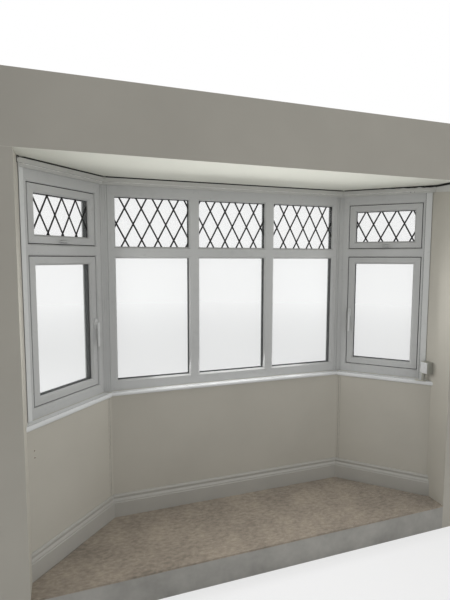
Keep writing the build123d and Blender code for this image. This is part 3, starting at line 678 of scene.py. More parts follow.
@dataclass(frozen=True)
class Run:
    """One face of the bay, with a distance along it, a distance out of it and a height.

    On the splays the distance along starts at the corner post; on the front it starts at the
    frame's left end. The distance out is measured from the frame's inner face.
    """

    side: Side

    def matrix(self) -> Matrix:
        """The turn and shift from the run's own axes to the part's.

        Returns:
            The matrix.
        """
        if self.side is Side.FRONT:
            return Matrix.Translation((FRONT_LOW.x, FRAME_Y, 0.0))
        sign = 1.0 if self.side is Side.RIGHT else -1.0
        return Matrix.Translation((sign * CORNER_X, FRAME_Y, 0.0)) @ Matrix.Rotation(-sign * SLANT, 4, "Z")

    def local(self, along: float, out: float, up: float) -> Vector:
        """A point on the run in the run's own axes."""
        return Vector((-along if self.side is Side.LEFT else along, out, up))

    def point(self, along: float, out: float, up: float) -> Vector:
        """A point on the run in the part's axes."""
        return self.matrix() @ self.local(along, out, up)

    def level(self, start: float, end: float, out: float, up: float) -> list[Vector]:
        """The ends of a level line between two distances along the run."""
        return [self.point(along, out, up) for along in (start, end)]

    def upright(self, along: float, out: float, low: float, high: float) -> list[Vector]:
        """The ends of an upright line between two heights."""
        return [self.point(along, out, up) for up in (low, high)]

    def inwards(self) -> Vector:
        """The way that the run's face looks, into the room."""
        return self.point(*ROOMWARDS) - self.point(0.0, 0.0, 0.0)


FRONT, RIGHT, LEFT = (Run(side) for side in Side)
WINGS = (RIGHT, LEFT)


class Bench:
    """Modelling by operators. Each call leaves only its own piece selected and active."""

    along_axis = 0.9
    strip_round = 0.32
    sway_waves = 45.0
    drift_waves = 18.0
    drift_aside = 0.4
    drift_rise = 0.5

    @staticmethod
    def clear() -> None:
        """Deselect everything."""
        bpy.ops.object.select_all(action="DESELECT")

    @staticmethod
    def take(piece: Piece) -> None:
        """Make one piece the only selected and active one.

        Args:
            piece: The piece.
        """
        Bench.clear()
        piece.select_set(True)
        bpy.context.view_layer.objects.active = piece

    @staticmethod
    def settle(name: str, **moves: object) -> Piece:
        """Name, move, turn and scale the object just added, and put all that into its mesh.

        Args:
            name: The piece's name.
            moves: The object's own settings.

        Returns:
            The piece.
        """
        piece = bpy.context.object
        piece.name = name
        for key, value in moves.items():
            setattr(piece, key, value)
        Bench.take(piece)
        bpy.ops.object.transform_apply(location=True, rotation=True, scale=True)
        return piece

    @staticmethod
    def block(name: str, low: Vector | Point, high: Vector | Point) -> Piece:
        """A block between its lowest and its highest corner.

        Args:
            name: The piece's name.
            low: The lowest corner.
            high: The highest corner.

        Returns:
            The block.
        """
        low, high = Vector(low), Vector(high)
        Bench.clear()
        bpy.ops.mesh.primitive_cube_add(size=1.0, location=(low + high) / 2)
        return Bench.settle(name, scale=high - low)

    @staticmethod
    def drum(
        name: str, radius: float, low: Vector, high: Vector, sides: int = 20, tip: float | None = None
    ) -> Piece:
        """A drum or cone between two points.

        Args:
            name: The piece's name.
            radius: The radius at the first point.
            low: The first point.
            high: The second point.
            sides: Number of sides.
            tip: The radius at the second point, or None for the same.

        Returns:
            The drum.
        """
        Bench.clear()
        axis = high - low
        end = radius if tip is None else tip
        bpy.ops.mesh.primitive_cone_add(vertices=sides, radius1=radius, radius2=end, depth=axis.length)
        turn = axis.to_track_quat("Z", "Y")
        return Bench.settle(
            name, rotation_mode="QUATERNION", rotation_quaternion=turn, location=(low + high) / 2
        )

    @staticmethod
    def dome(name: str, centre: Vector, size: Point, rings: int) -> Piece:
        """A flattened ball.

        Args:
            name: The piece's name.
            centre: Its middle.
            size: Its half sizes.
            rings: Number of rings; it has twice as many segments.

        Returns:
            The ball.
        """
        Bench.clear()
        bpy.ops.mesh.primitive_uv_sphere_add(segments=2 * rings, ring_count=rings, location=centre)
        return Bench.settle(name, scale=size)

    @staticmethod
    def modify(piece: Piece, kind: str, **settings: object) -> None:
        """Apply a modifier.

        Args:
            piece: The piece.
            kind: The modifier's type.
            settings: The modifier's own settings.
        """
        Bench.take(piece)
        modifier = piece.modifiers.new(kind, kind)
        for key, value in settings.items():
            setattr(modifier, key, value)
        bpy.ops.object.modifier_apply(modifier=modifier.name)

    @staticmethod
    def soften(piece: Piece, width: float, segments: int = 2) -> None:
        """Round a piece's sharp edges by a width, in a number of steps."""
        Bench.modify(piece, "BEVEL", width=width, segments=segments, limit_method="ANGLE")

    @staticmethod
    def divide(piece: Piece, axis: int, cuts: int) -> None:
        """Divide the edges that run along one axis.

        Args:
            piece: The piece.
            axis: 0, 1 or 2 for X, Y or Z.
            cuts: Number of cuts in each edge.
        """
        Bench.take(piece)
        mesh = piece.data
        for part in (*mesh.polygons, *mesh.vertices):
            part.select = False
        for edge in mesh.edges:
            first, second = (mesh.vertices[index].co for index in edge.vertices)
            span = second - first
            edge.select = abs(span[axis]) > Bench.along_axis * span.length
        bpy.ops.object.mode_set(mode="EDIT")
        bpy.ops.mesh.select_mode(type="EDGE")
        bpy.ops.mesh.subdivide(number_cuts=cuts)
        bpy.ops.object.mode_set(mode="OBJECT")

    @staticmethod
    def strip(
        name: str,
        ends: Sequence[Vector],
        width: float,
        height: float,
        up: Vector = UP,
        ragged: float = 0.0,
        step: float = 25 * MM,
    ) -> Piece:
        """A rounded strip between two points.

        Args:
            name: The piece's name, which also varies its unevenness.
            ends: The two points, in the part's axes.
            width: Its width across the line.
            height: Its thickness, half of it on each side of the line.
            up: The way its broad face looks.
            ragged: How far its width wanders, as a share of it.
            step: The length of its parts.

        Returns:
            The strip.
        """
        start, line = ends[0], ends[1] - ends[0]
        piece = Bench.block(name, (0.0, -width / 2, -height / 2), (line.length, width / 2, height / 2))
        Bench.divide(piece, 0, max(1, int(line.length / step)))
        Bench.soften(piece, Bench.strip_round * min(width, height))
        seed = float(sum(name.encode()) % 97)
        ahead = line.normalized()
        across = up.cross(ahead).normalized()
        for vertex in piece.data.vertices:
            run, aside, rise = vertex.co
            sway = noise.noise(Vector((run * Bench.sway_waves, seed, 0.0)))
            drift = noise.noise(Vector((run * Bench.drift_waves, seed, 7.0)))
            aside = aside * (1.0 + ragged * sway) + Bench.drift_aside * ragged * width * drift
            rise *= 1.0 + Bench.drift_rise * ragged * drift
            vertex.co = start + ahead * run + across * aside + up.normalized() * rise
        Bench.outward(piece)
        return piece

    @staticmethod
    def twin(piece: Piece, name: str, matrix: Matrix) -> Piece:
        """A copy with its own mesh.

        Args:
            piece: The piece that is copied.
            name: The copy's name.
            matrix: Moves the copy's mesh.

        Returns:
            The copy.
        """
        copy = piece.copy()
        copy.data = piece.data.copy()
        copy.name = name
        copy.data.transform(matrix)
        bpy.context.collection.objects.link(copy)
        if matrix.determinant() < 0.0:
            Bench.outward(copy)
        return copy

    @staticmethod
    def seat(piece: Piece, run: Run) -> None:
        """Move a piece from a run's own axes into the part's."""
        piece.data.transform(run.matrix())

    @staticmethod
    def pair(piece: Piece, inset: float) -> Piece:
        """Seat a piece on the right wing.

        Args:
            piece: The piece, in the wing's own axes.
            inset: How far behind the frame's inner face it is seated.

        Returns:
            Its mirror image, seated on the left wing.
        """
        piece.data.transform(Matrix.Translation((0.0, inset, 0.0)))
        other = Bench.twin(piece, "mirrored", LEFT.matrix() @ FLIP)
        Bench.seat(piece, RIGHT)
        return other

    @staticmethod
    def outward(piece: Piece) -> None:
        """Point all of a closed piece's faces outwards.

        Args:
            piece: The piece.
        """
        Bench.take(piece)
        bpy.ops.object.mode_set(mode="EDIT")
        bpy.ops.mesh.select_all(action="SELECT")
        bpy.ops.mesh.normals_make_consistent(inside=False)
        bpy.ops.object.mode_set(mode="OBJECT")

    @staticmethod
    def fuse(name: str, pieces: Sequence[Piece]) -> Piece:
        """Join pieces into one.

        Args:
            name: The new piece's name.
            pieces: The pieces, of which the first is kept.

        Returns:
            The joined piece.
        """
        Bench.take(pieces[0])
        for piece in pieces:
            piece.select_set(True)
        if len(pieces) > 1:
            bpy.ops.object.join()
        joined = bpy.context.object
        joined.name = joined.data.name = name
        return joined

    @staticmethod
    def finish(
        name: str,
        pieces: Sequence[Piece],
        finish: Finish,
        slot: str,
        angle: float = 60.0,
        stands_for: Sequence[str] = (),
    ) -> None:
        """Join pieces into one, dress it, let it ride on the part and report it.

        Args:
            name: The new piece's name.
            pieces: The pieces.
            finish: Its finish.
            slot: The record's material slot; not used.
            angle: Edges flatter than this, in degrees, are shaded smooth; 0 leaves all flat.
            stands_for: The CAD nodes that it replaces.
        """
        piece = Bench.fuse(name, pieces)
        Bench.take(piece)
        if angle > 0.0:
            bpy.ops.object.shade_smooth_by_angle(angle=math.radians(angle))
        piece.data.materials.clear()
        piece.data.materials.append(finish.material())
        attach(piece, BODY)
        if stands_for:
            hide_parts(*stands_for)
        LOG.info("%s: %d faces", piece.name, len(piece.data.polygons))


@dataclass
class Brickwork:
    """The brick faces outside, laid in Flemish bond and standing a little proud of the mortar."""

    stretcher: float = 215 * MM
    header: float = 102.5 * MM
    height: float = 65 * MM
    joint: float = 10 * MM
    proud: float = 3.5 * MM
    sunk: float = 6 * MM
    arris: float = 1.8 * MM
    least: float = 28 * MM
    jog: float = 0.6 * MM
    seed: int = 21
    tone_range: Pair = (0.1, 1.0)
    short: float = 0.7
    burnt_share: float = 0.4
    burnt_tone: float = 0.35

    def __post_init__(self) -> None:
        """Work out the courses and start the store of bricks and the order of tones."""
        self.wall_top = high_of("wall_front").z
        self.course = self.height + self.joint
        self.first = self.wall_top - self.joint / 2 - self.height
        self.first -= math.ceil(self.first / self.course) * self.course
        self.models: dict[tuple[int, int], Piece] = {}
        self.tones = random.Random(self.seed)

    def model(self, length: float, height: float) -> Piece:
        """A brick face of one size with worn arrises, made once.

        Args:
            length: Its length along the wall.
            height: Its height.

        Returns:
            The model, lying at the origin with its outer face towards +Y.
        """
        key = (round(length / MM), round(height / MM))
        if key not in self.models:
            piece = Bench.block("brick_model", (0.0, -self.sunk, 0.0), (length, self.proud, height))
            Bench.soften(piece, self.arris, segments=1)
            piece.data.attributes.new("tone", "FLOAT", "POINT")
            self.models[key] = piece
        return self.models[key]

    def brick(self, length: float, height: float, matrix: Matrix) -> Piece:
        """One laid brick with its own tone.

        Args:
            length: Its length along the wall.
            height: Its height.
            matrix: Places it.

        Returns:
            The brick.
        """
        piece = Bench.twin(self.model(length, height), "brick", matrix)
        tone = self.tones.uniform(*self.tone_range)
        if length < self.stretcher * self.short and self.tones.random() < self.burnt_share:
            tone *= self.burnt_tone
        values = [tone] * len(piece.data.vertices)
        piece.data.attributes["tone"].data.foreach_set("value", values)
        return piece

    def row(self, row: int, bottom: float, top: float, length: float, matrix: Matrix) -> list[Piece]:
        """Lay one course, its stretchers and headers in turn, cut at the ends.

        Args:
            row: The course's number.
            bottom: The height of its foot.
            top: The height of its top.
            length: The wall's length.
            matrix: Places the wall's face.

        Returns:
            The bricks.
        """
        pitch = self.stretcher + self.header + 2 * self.joint
        along = -pitch if row % 2 == 0 else -pitch * 1.5
        spans: list[list[float]] = []
        long_one = True
        while along < length:
            size = self.stretcher if long_one else self.header
            start, end = max(along, 0.0), min(along + size, length)
            if end - start > self.least:
                spans.append([start, end])
            along += size + self.joint
            long_one = not long_one
        spans[0][0] = 0.0
        spans[-1][1] = length
        laid = []
        for start, end in spans:
            jog = self.tones.uniform(-self.jog, self.jog)
            place = matrix @ Matrix.Translation((start, jog, bottom))
            laid.append(self.brick(end - start, top - bottom, place))
        return laid

    def face(self, name: str, matrix: Matrix, length: float, low: float, high: float) -> None:
        """Lay one face of a wall.

        Args:
            name: The piece's name.
            matrix: Places the face: X along it, Y out of it, its left end at the origin.
            length: Its length.
            low: The height that it starts from.
            high: The height that it ends at.
        """
        laid = []
        row = 0
        up = self.first
        while up < high - 2 * self.joint:
            bottom = max(up, low + self.joint / 4)
            top = min(up + self.height, high - self.joint / 4)
            if top - bottom > self.joint:
                laid += self.row(row, bottom, top, length, matrix)
            up += self.course
            row += 1
        Bench.finish(name, laid, BRICK, "brick", angle=30.0)

    def build(self) -> None:
        """Lay the six brick faces."""
        front, side = high_of("wall_front"), high_of("wall_right")
        eaves_low = low_of("eaves").z
        start = Matrix.Translation((-front.x, front.y, 0.0))
        self.face("bricks_front", start, 2 * front.x, 0.0, self.wall_top)
        span = (Vector((side.x, 0.0)) - Vector((front.x, front.y))).length
        right = Matrix.Translation((front.x, front.y, 0.0)) @ Matrix.Rotation(-SLANT, 4, "Z")
        left = Matrix.Translation((-side.x, 0.0, 0.0)) @ Matrix.Rotation(SLANT, 4, "Z")
        self.face("bricks_right", right, span, 0.0, side.z)
        self.face("bricks_left", left, span, 0.0, side.z)
        strip = PARTY_X - side.x
        for name, x, length, low, high in (
            ("bricks_pier_right", side.x, strip, 0.0, eaves_low),
            ("bricks_pier_left", -PARTY_X, strip, 0.0, eaves_low),
            ("bricks_header", -PARTY_X, 2 * PARTY_X, high_of("roof_covering").z, high_of("header_wall").z),
        ):
            self.face(name, Matrix.Translation((x, 0.0, 0.0)), length, low, high)
        for model in self.models.values():
            bpy.data.objects.remove(model)


@dataclass
class CarpetFloor:
    """The carpet, its pile lying unevenly."""

    grid: float = 22 * MM
    swell: float = 2.2 * MM
    wave: float = 70 * MM
    skin: float = 1 * MM

    def cut(self, low: Vector, high: Vector) -> None:
        """Cut the piece in edit mode into a grid along X and Y.

        Args:
            low: The carpet's lowest corner.
            high: Its highest corner.
        """
        for axis in (0, 1):
            normal = [0.0, 0.0, 0.0]
            normal[axis] = 1.0
            for step in range(1, int((high[axis] - low[axis]) / self.grid)):
                place = list(low)
                place[axis] += step * self.grid
                bpy.ops.mesh.select_all(action="SELECT")
                bpy.ops.mesh.bisect(plane_co=place, plane_no=normal)

    def build(self) -> None:
        """Cut the carpet's top into a fine grid and let it swell and sink."""
        piece = Bench.twin(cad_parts["carpet"], "carpet_pile", Matrix.Identity(4))
        for key in list(piece.keys()):
            del piece[key]
        piece.parent = None
        Bench.take(piece)
        low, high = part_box("carpet")
        bpy.ops.object.mode_set(mode="EDIT")
        bpy.ops.mesh.select_all(action="SELECT")
        bpy.ops.mesh.remove_doubles(threshold=0.01 * MM)
        bpy.ops.mesh.dissolve_limited(angle_limit=math.radians(1.0))
        self.cut(low, high)
        bpy.ops.object.mode_set(mode="OBJECT")
        top = piece.vertex_groups.new(name="pile")
        top.add([v.index for v in piece.data.vertices if v.co.z > high.z - self.skin], 1.0, "REPLACE")
        texture = bpy.data.textures.new("pile_swell", "CLOUDS")
        texture.noise_scale = self.wave
        texture.noise_depth = 3
        Bench.modify(
            piece,
            "DISPLACE",
            texture=texture,
            texture_coords="GLOBAL",
            direction="Z",
            vertex_group=top.name,
            mid_level=1.0,
            strength=2 * self.swell,
        )
        Bench.finish("carpet_pile", [piece], PILE, "carpet", stands_for=["carpet"])


@dataclass(frozen=True)
class FrontSizes:
    """Sizes of the front frame, along its inner face and up from its foot."""

    edge: float = 68 * MM
    face: float = 50 * MM
    light_w: float = 473 * MM
    pitch: float = 543 * MM
    low_h: float = 776 * MM
    top_low: float = 914 * MM
    top_h: float = 306 * MM
    width: float = 1695 * MM

    def lights(self) -> list[Box]:
        """The six lights, each lower one before its upper one.

        Returns:
            Left, foot, width and height of each.
        """
        found = []
        for index in range(3):
            left = self.edge + index * self.pitch
            found.append((left, self.edge, self.light_w, self.low_h))
            found.append((left, self.top_low, self.light_w, self.top_h))
        return found


@dataclass(frozen=True)
class WingSizes:
    """Sizes of a side frame, along its inner face from the corner post and up from its foot."""

    width: float = 596 * MM
    face: float = 50 * MM
    rail_face: float = 60 * MM
    sash_in: float = 6 * MM
    bevel: float = 7 * MM
    sash_left: float = 54.5 * MM
    sash_w: float = 487 * MM
    sash_face: float = 44.5 * MM
    case_foot: float = 64.5 * MM
    case_h: float = 787 * MM
    fan_foot: float = 919.5 * MM
    fan_all: float = 304 * MM
    glass_left: float = 99 * MM
    glass_w: float = 398 * MM
    case_low: float = 109 * MM
    case_glass_h: float = 698 * MM
    fan_low: float = 964 * MM
    fan_h: float = 215 * MM

    def lights(self) -> list[Box]:
        """Left, foot, width and height of the two lights, the upper one last."""
        low = (self.glass_left, self.case_low, self.glass_w, self.case_glass_h)
        return [low, (self.glass_left, self.fan_low, self.glass_w, self.fan_h)]

    def sashes(self) -> list[Box]:
        """Left, foot, width and height of the two sashes."""
        low = (self.sash_left, self.case_foot, self.sash_w, self.case_h)
        return [low, (self.sash_left, self.fan_foot, self.sash_w, self.fan_all)]


FRONT_FRAME = FrontSizes()
WING_FRAME = WingSizes()


@dataclass
class LeadedLights:
    """Solder joints where the leads cross."""

    diamond_w: float = 104 * MM
    diamond_h: float = 196 * MM
    joint_w: float = 6.5 * MM
    joint_h: float = 1.35
    joint_t: float = 1.3 * MM
    lead_t: float = 1.6 * MM
    fixed_in: float = 18 * MM
    sash_in: float = 26 * MM
    front_firsts: tuple[float, ...] = (10 * MM, 28.5 * MM, 28.5 * MM)
    front_row: float = 143 * MM
    right_first: Pair = (15.5 * MM, 125.5 * MM)
    left_first: Pair = (37.5 * MM, 112.5 * MM)

    def crossings(self, box: Box, first: float, row: float) -> list[Vector]:
        """The crossings on one light.

        Args:
            box: The light's left, foot, width and height.
            first: A crossing's distance from the left side.
            row: The same crossing's height above the light's foot.

        Returns:
            The crossings as (along, 0, up from the frame's foot).
        """
        x, y, width, height = box
        found = []
        edge = self.joint_w
        reach = int(height / self.diamond_h * 2) + 2
        for level in range(-reach, reach + 1):
            up = row + level * self.diamond_h / 2
            shift = first + (level % 2) * self.diamond_w / 2
            for step in range(-3, int(width / self.diamond_w) + 3):
                along = shift + step * self.diamond_w
                if edge < along < width - edge and edge < up < height - edge:
                    found.append(Vector((x + along, 0.0, y + up)))
        return found

    def solder(self, run: Run, places: Sequence[Vector], glass_in: float) -> None:
        """Set the solder on one face of the bay.

        Args:
            run: The face of the bay.
            places: The crossings.
            glass_in: How far the glass lies behind the frame's inner face.
        """
        size = (self.joint_w, self.joint_t, self.joint_w * self.joint_h)
        model = Bench.dome("solder_model", Vector(), size, rings=5)
        blobs = []
        for place in places:
            at = run.local(place.x, glass_in - self.lead_t, FRAME_Z + place.z)
            blobs.append(Bench.twin(model, "solder", run.matrix() @ Matrix.Translation(at)))
        bpy.data.objects.remove(model)
        Bench.finish(f"solder_{run.side.value}", blobs, SOLDER, "lead_strip")

    def build(self) -> None:
        """Add the solder of the five leaded lights."""
        places = []
        for box, first in zip(FRONT_FRAME.lights()[1::2], self.front_firsts):
            places += self.crossings(box, first, self.front_row)
        self.solder(FRONT, places, self.fixed_in)
        for run, first in ((RIGHT, self.right_first), (LEFT, self.left_first)):
            self.solder(run, self.crossings(WING_FRAME.lights()[1], *first), self.sash_in)


@dataclass
class FrameDetails:
    """Weld lines, bead mitres and drainage caps of the window frames."""

    line_w: float = 0.7 * MM
    line_t: float = 0.12 * MM
    cap_w: float = 31 * MM
    cap_h: float = 9 * MM
    cap_t: float = 2.6 * MM
    bead_w: float = 18 * MM
    bead_flat: float = 9 * MM
    cap_round: float = 0.45
    front_cap_up: float = 0.5
    wing_cap_up: float = 0.35
    front_caps: Pair = (0.2, 0.8)
    wing_caps: Pair = (0.25, 0.75)

    def line(self, run: Run, start: Point, end: Point) -> Piece:
        """A hairline on a run's face.

        Args:
            run: The face of the bay.
            start: Its first end as (along, out, up).
            end: Its last end.

        Returns:
            The line.
        """
        first, last = run.local(*start), run.local(*end)
        half = self.line_w / 2
        piece = Bench.block("line", (0.0, -self.line_t, -half), ((last - first).length, self.line_t, half))
        Bench.soften(piece, self.line_t / 2, segments=1)
        angle = math.atan2(last.z - first.z, last.x - first.x)
        piece.data.transform(Matrix.Translation(first) @ Matrix.Rotation(-angle, 4, "Y"))
        Bench.seat(piece, run)
        return piece

    def corners(self, run: Run, box: Box, out: float, reach: float, rise: float) -> list[Piece]:
        """Mitre lines at the four corners of a rectangle, running inwards.

        Args:
            run: The face of the bay.
            box: Left, foot, width and height of the outer rectangle.
            out: The face that they lie on.
            reach: How far they run in along the rails.
            rise: How far they run in along the stiles.

        Returns:
            The four lines.
        """
        left, foot, width, height = box
        lines = []
        for x, step in ((left, reach), (left + width, -reach)):
            for z, way in ((foot, rise), (foot + height, -rise)):
                lines.append(self.line(run, (x, out, FRAME_Z + z), (x + step, out, FRAME_Z + z + way)))
        return lines

    def beads(self, run: Run, box: Box, out: float) -> list[Piece]:
        """The mitre lines of the beads round one light.

        Args:
            run: The face of the bay.
            box: The light's left, foot, width and height.
            out: The face that they lie on.

        Returns:
            The four lines.
        """
        left, foot, width, height = box
        more = 2 * self.bead_w
        grown = (left - self.bead_w, foot - self.bead_w, width + more, height + more)
        return self.corners(run, grown, out, self.bead_flat, self.bead_flat)

    def cap(self, run: Run, along: float, up: float) -> Piece:
        """A hooded drainage cap on an outer rail.

        Args:
            run: The face of the bay.
            along: Its middle along the run.
            up: Its middle above the frame's foot.

        Returns:
            The cap.
        """
        at = run.local(along, FRAME_D, FRAME_Z + up)
        half = Vector((self.cap_w / 2, 0.0, self.cap_h / 2))
        cap = Bench.block("cap", at - half, at + half + Vector((0.0, self.cap_t, 0.0)))
        Bench.divide(cap, 0, 3)
        Bench.soften(cap, self.cap_t * self.cap_round)
        Bench.seat(cap, run)
        return cap

    def build(self) -> None:
        """Add the details of the three frames."""
        front, wing = FRONT_FRAME, WING_FRAME
        lines = self.corners(FRONT, (0.0, 0.0, front.width, FRAME_H), 0.0, front.face, front.face)
        for box in front.lights():
            lines += self.beads(FRONT, box, 0.0)
        caps = []
        for box in front.lights()[::2]:
            for share in self.front_caps:
                caps.append(self.cap(FRONT, box[0] + box[2] * share, front.face * self.front_cap_up))
        post, rail = wing.face - wing.bevel, wing.rail_face - wing.bevel
        mitre = wing.sash_face - self.bead_w
        for run in WINGS:
            lines += self.corners(run, (0.0, 0.0, wing.width, FRAME_H), 0.0, post, rail)
            for box in wing.sashes():
                lines += self.corners(run, box, wing.sash_in, mitre, mitre)
            for box in wing.lights():
                lines += self.beads(run, box, wing.sash_in)
            for share in self.wing_caps:
                caps.append(self.cap(run, wing.width * share, wing.face * self.wing_cap_up))
        Bench.finish("weld_lines", lines, WELD, "upvc", angle=0.0)
        Bench.finish("drainage_caps", caps, PROFILE, "upvc", angle=40.0)


@dataclass
class Sealing:
    """Hand-run sealant beads along the foot of the three frames, inside."""

    size: float = 4.0 * MM
    step: float = 30 * MM
    waves: float = 40.0
    sway: float = 0.35
    rounding: float = 0.6
    front_gap: float = 5 * MM
    wing_gap: float = 8 * MM

    def bead(self, run: Run, start: float, end: float) -> Piece:
        """One level bead in the corner between a frame and its board.

        Args:
            run: The face of the bay.
            start: Where it starts along the run.
            end: Where it ends.

        Returns:
            The bead.
        """
        first, last = run.local(start, 0.0, FRAME_Z), run.local(end, 0.0, FRAME_Z)
        axis = last - first
        half = self.size / 2
        piece = Bench.block("bead", (-half, -half, 0.0), (half, half, axis.length))
        Bench.divide(piece, 2, max(3, int(axis.length / self.step)))
        Bench.soften(piece, half * self.rounding)
        for vertex in piece.data.vertices:
            turn = vertex.co.z * self.waves + len(run.side.value)
            grow = 1.0 + self.sway * noise.noise(Vector((turn, self.size / MM, 0.0)))
            vertex.co.x *= grow
            vertex.co.y *= grow
        lay = axis.to_track_quat("Z", "Y").to_matrix().to_4x4()
        piece.data.transform(Matrix.Translation(first) @ lay @ Matrix.Rotation(math.radians(45.0), 4, "Z"))
        Bench.seat(piece, run)
        return piece

    def build(self) -> None:
        """Run the beads."""
        beads = [self.bead(FRONT, self.front_gap, FRONT_FRAME.width - self.front_gap)]
        beads += [self.bead(run, self.wing_gap, WING_FRAME.width) for run in WINGS]
        Bench.finish("sealant_inside", beads, SEALANT, "upvc")


def deeper(distance: float) -> Vector:
    """A step away from the room, in a run's own axes."""
    return Vector((0.0, distance, 0.0))


@dataclass
class CasementHandle:
    """A lever handle on an oval base, hanging down, with its screw cover."""

    along: float = 67.75 * MM
    top: float = 1452 * MM
    base_w: float = 22 * MM
    base_l: float = 62 * MM
    base_t: float = 8 * MM
    base_round: float = 1.8 * MM
    neck_d: float = 17 * MM
    neck_foot: float = 0.56
    neck_tip: float = 0.44
    neck_sunk: float = 0.7
    neck_into: float = 1.5 * MM
    neck_round: float = 0.8 * MM
    out: float = 20 * MM
    lever_l: float = 132 * MM
    lever_w: float = 18 * MM
    tip_w: float = 13 * MM
    lever_t: float = 9 * MM
    lever_round: float = 2.4 * MM
    bow: float = 2.2 * MM
    button_d: float = 9 * MM
    button_t: float = 4 * MM
    collar_r: float = 0.62
    collar_in: float = 0.5 * MM
    collar_out: float = 0.9 * MM
    collar_round: float = 0.4 * MM

    def base(self) -> Piece:
        """The oval base with a softened rim.

        Returns:
            The base.
        """
        half = self.base_w / 2
        middle = self.top - self.base_l / 2
        reach = self.base_l / 2 - half
        low = (self.along - half, -self.base_t, middle - reach)
        plate = Bench.block("base", low, (self.along + half, 0.0, middle + reach))
        for sign in SIGNS:
            centre = Vector((self.along, 0.0, middle + sign * reach))
            end = Bench.drum("end", half, centre, centre + deeper(-self.base_t), sides=32)
            Bench.modify(plate, "BOOLEAN", operation="UNION", object=end)
            bpy.data.objects.remove(end)
        Bench.soften(plate, self.base_round, segments=3)
        return plate

    def lever(self) -> Piece:
        """The lever, tapering to a rounded tip and bowed a little into the room.

        Returns:
            The lever.
        """
        pivot = self.top - self.base_l / 2
        half = self.lever_w / 2
        foot = pivot - self.lever_l - self.tip_w / 2
        low = Vector((self.along - half, -self.out - self.lever_t, foot))
        high = Vector((self.along + half, -self.out, pivot + half))
        lever = Bench.block("lever", low, high)
        Bench.divide(lever, 2, 9)
        for vertex in lever.data.vertices:
            share = (high.z - vertex.co.z) / (high.z - low.z)
            width = 1.0 + (self.tip_w / self.lever_w - 1.0) * share
            vertex.co.x = self.along + (vertex.co.x - self.along) * width
            if vertex.co.y > -self.out - self.lever_t / 2:
                vertex.co.y += self.bow * math.sin(math.pi * share)
        Bench.soften(lever, self.lever_round)
        Bench.modify(lever, "SUBSURF", levels=1, render_levels=1)
        return lever

    def neck(self) -> Piece:
        """The neck between the base and the lever.

        Returns:
            The neck.
        """
        centre = Vector((self.along, 0.0, self.top - self.base_l / 2))
        inner = centre + deeper(-self.base_t * self.neck_sunk)
        outer = centre + deeper(-self.out - self.neck_into)
        foot, tip = self.neck_d * self.neck_foot, self.neck_d * self.neck_tip
        neck = Bench.drum("neck", foot, inner, outer, sides=32, tip=tip)
        Bench.soften(neck, self.neck_round)
        return neck

    def cover(self) -> list[Piece]:
        """The screw cover and the collar round it.

        Returns:
            Both pieces.
        """
        spot = Vector((self.along, -self.base_t, self.top - self.button_d))
        size = (self.button_d / 2, self.button_t, self.button_d / 2)
        button = Bench.dome("button", spot, size, rings=10)
        low, high = spot + deeper(self.collar_in), spot + deeper(-self.collar_out)
        collar = Bench.drum("collar", self.button_d * self.collar_r, low, high, sides=28)
        Bench.soften(collar, self.collar_round)
        return [button, collar]

    def build(self) -> None:
        """Make the right handle and its mirrored twin."""
        right = Bench.fuse("handle", [self.base(), self.neck(), self.lever(), *self.cover()])
        left = Bench.pair(right, WING_FRAME.sash_in)
        for side, piece in (("right", right), ("left", left)):
            name, stands_for = f"lever_handle_{side}", [f"handle_{side}"]
            Bench.finish(name, [piece], FITTING, "handle_coat", 50.0, stands_for)


@dataclass
class FanlightCatch:
    """A small catch on a fanlight's bottom rail, its lever lying level, its base and neck near black as
    painted shade under the lever.
    """

    along: float = 306.5 * MM
    up: float = 1909.75 * MM
    base_w: float = 46 * MM
    base_h: float = 14 * MM
    base_t: float = 7 * MM
    lever_l: float = 88 * MM
    lever_h: float = 11 * MM
    lever_t: float = 6 * MM
    base_round: float = 3.2 * MM
    lever_round: float = 2.0 * MM
    neck_tip: float = 0.42
    neck_into: float = 1 * MM
    taper: float = 0.22
    out: float = 15 * MM

    def base(self, centre: Vector) -> Piece:
        """The base and the neck on it.

        Args:
            centre: The catch's middle on the rail.

        Returns:
            Both as one piece.
        """
        half = Vector((self.base_w / 2, 0.0, self.base_h / 2))
        base = Bench.block("base", centre - half - deeper(self.base_t), centre + half)
        Bench.divide(base, 0, 3)
        Bench.soften(base, self.base_round, segments=4)
        end = centre + deeper(-self.out - self.neck_into)
        tip = self.lever_h * self.neck_tip
        neck = Bench.drum("neck", self.lever_h / 2, centre, end, sides=24, tip=tip)
        return Bench.fuse("base", [base, neck])

    def lever(self, centre: Vector) -> Piece:
        """The level lever, slimmer towards both ends.

        Args:
            centre: The catch's middle on the rail.

        Returns:
            The lever.
        """
        half = Vector((self.lever_l / 2, 0.0, self.lever_h / 2))
        low = centre - half - deeper(self.out + self.lever_t)
        lever = Bench.block("lever", low, centre + half - deeper(self.out))
        Bench.divide(lever, 0, 7)
        for vertex in lever.data.vertices:
            share = abs(vertex.co.x - self.along) / (self.lever_l / 2)
            vertex.co.z = self.up + (vertex.co.z - self.up) * (1.0 - self.taper * share)
        Bench.soften(lever, self.lever_round, segments=3)
        return lever

    def build(self) -> None:
        """Make both catches."""
        centre = Vector((self.along, 0.0, self.up))
        base, lever = self.base(centre), self.lever(centre)
        for name, piece, finish, stands_for in (
            # the bases and necks are dressed in painted shade
            ("catch_base_shades", base, CATCH_BASE_SHADE, []),
            ("lever_catches", lever, CATCH_LEVER, ["fanlight_catches"]),
        ):
            both = [piece, Bench.pair(piece, WING_FRAME.sash_in)]
            Bench.finish(name, both, finish, "handle_coat", 50.0, stands_for)


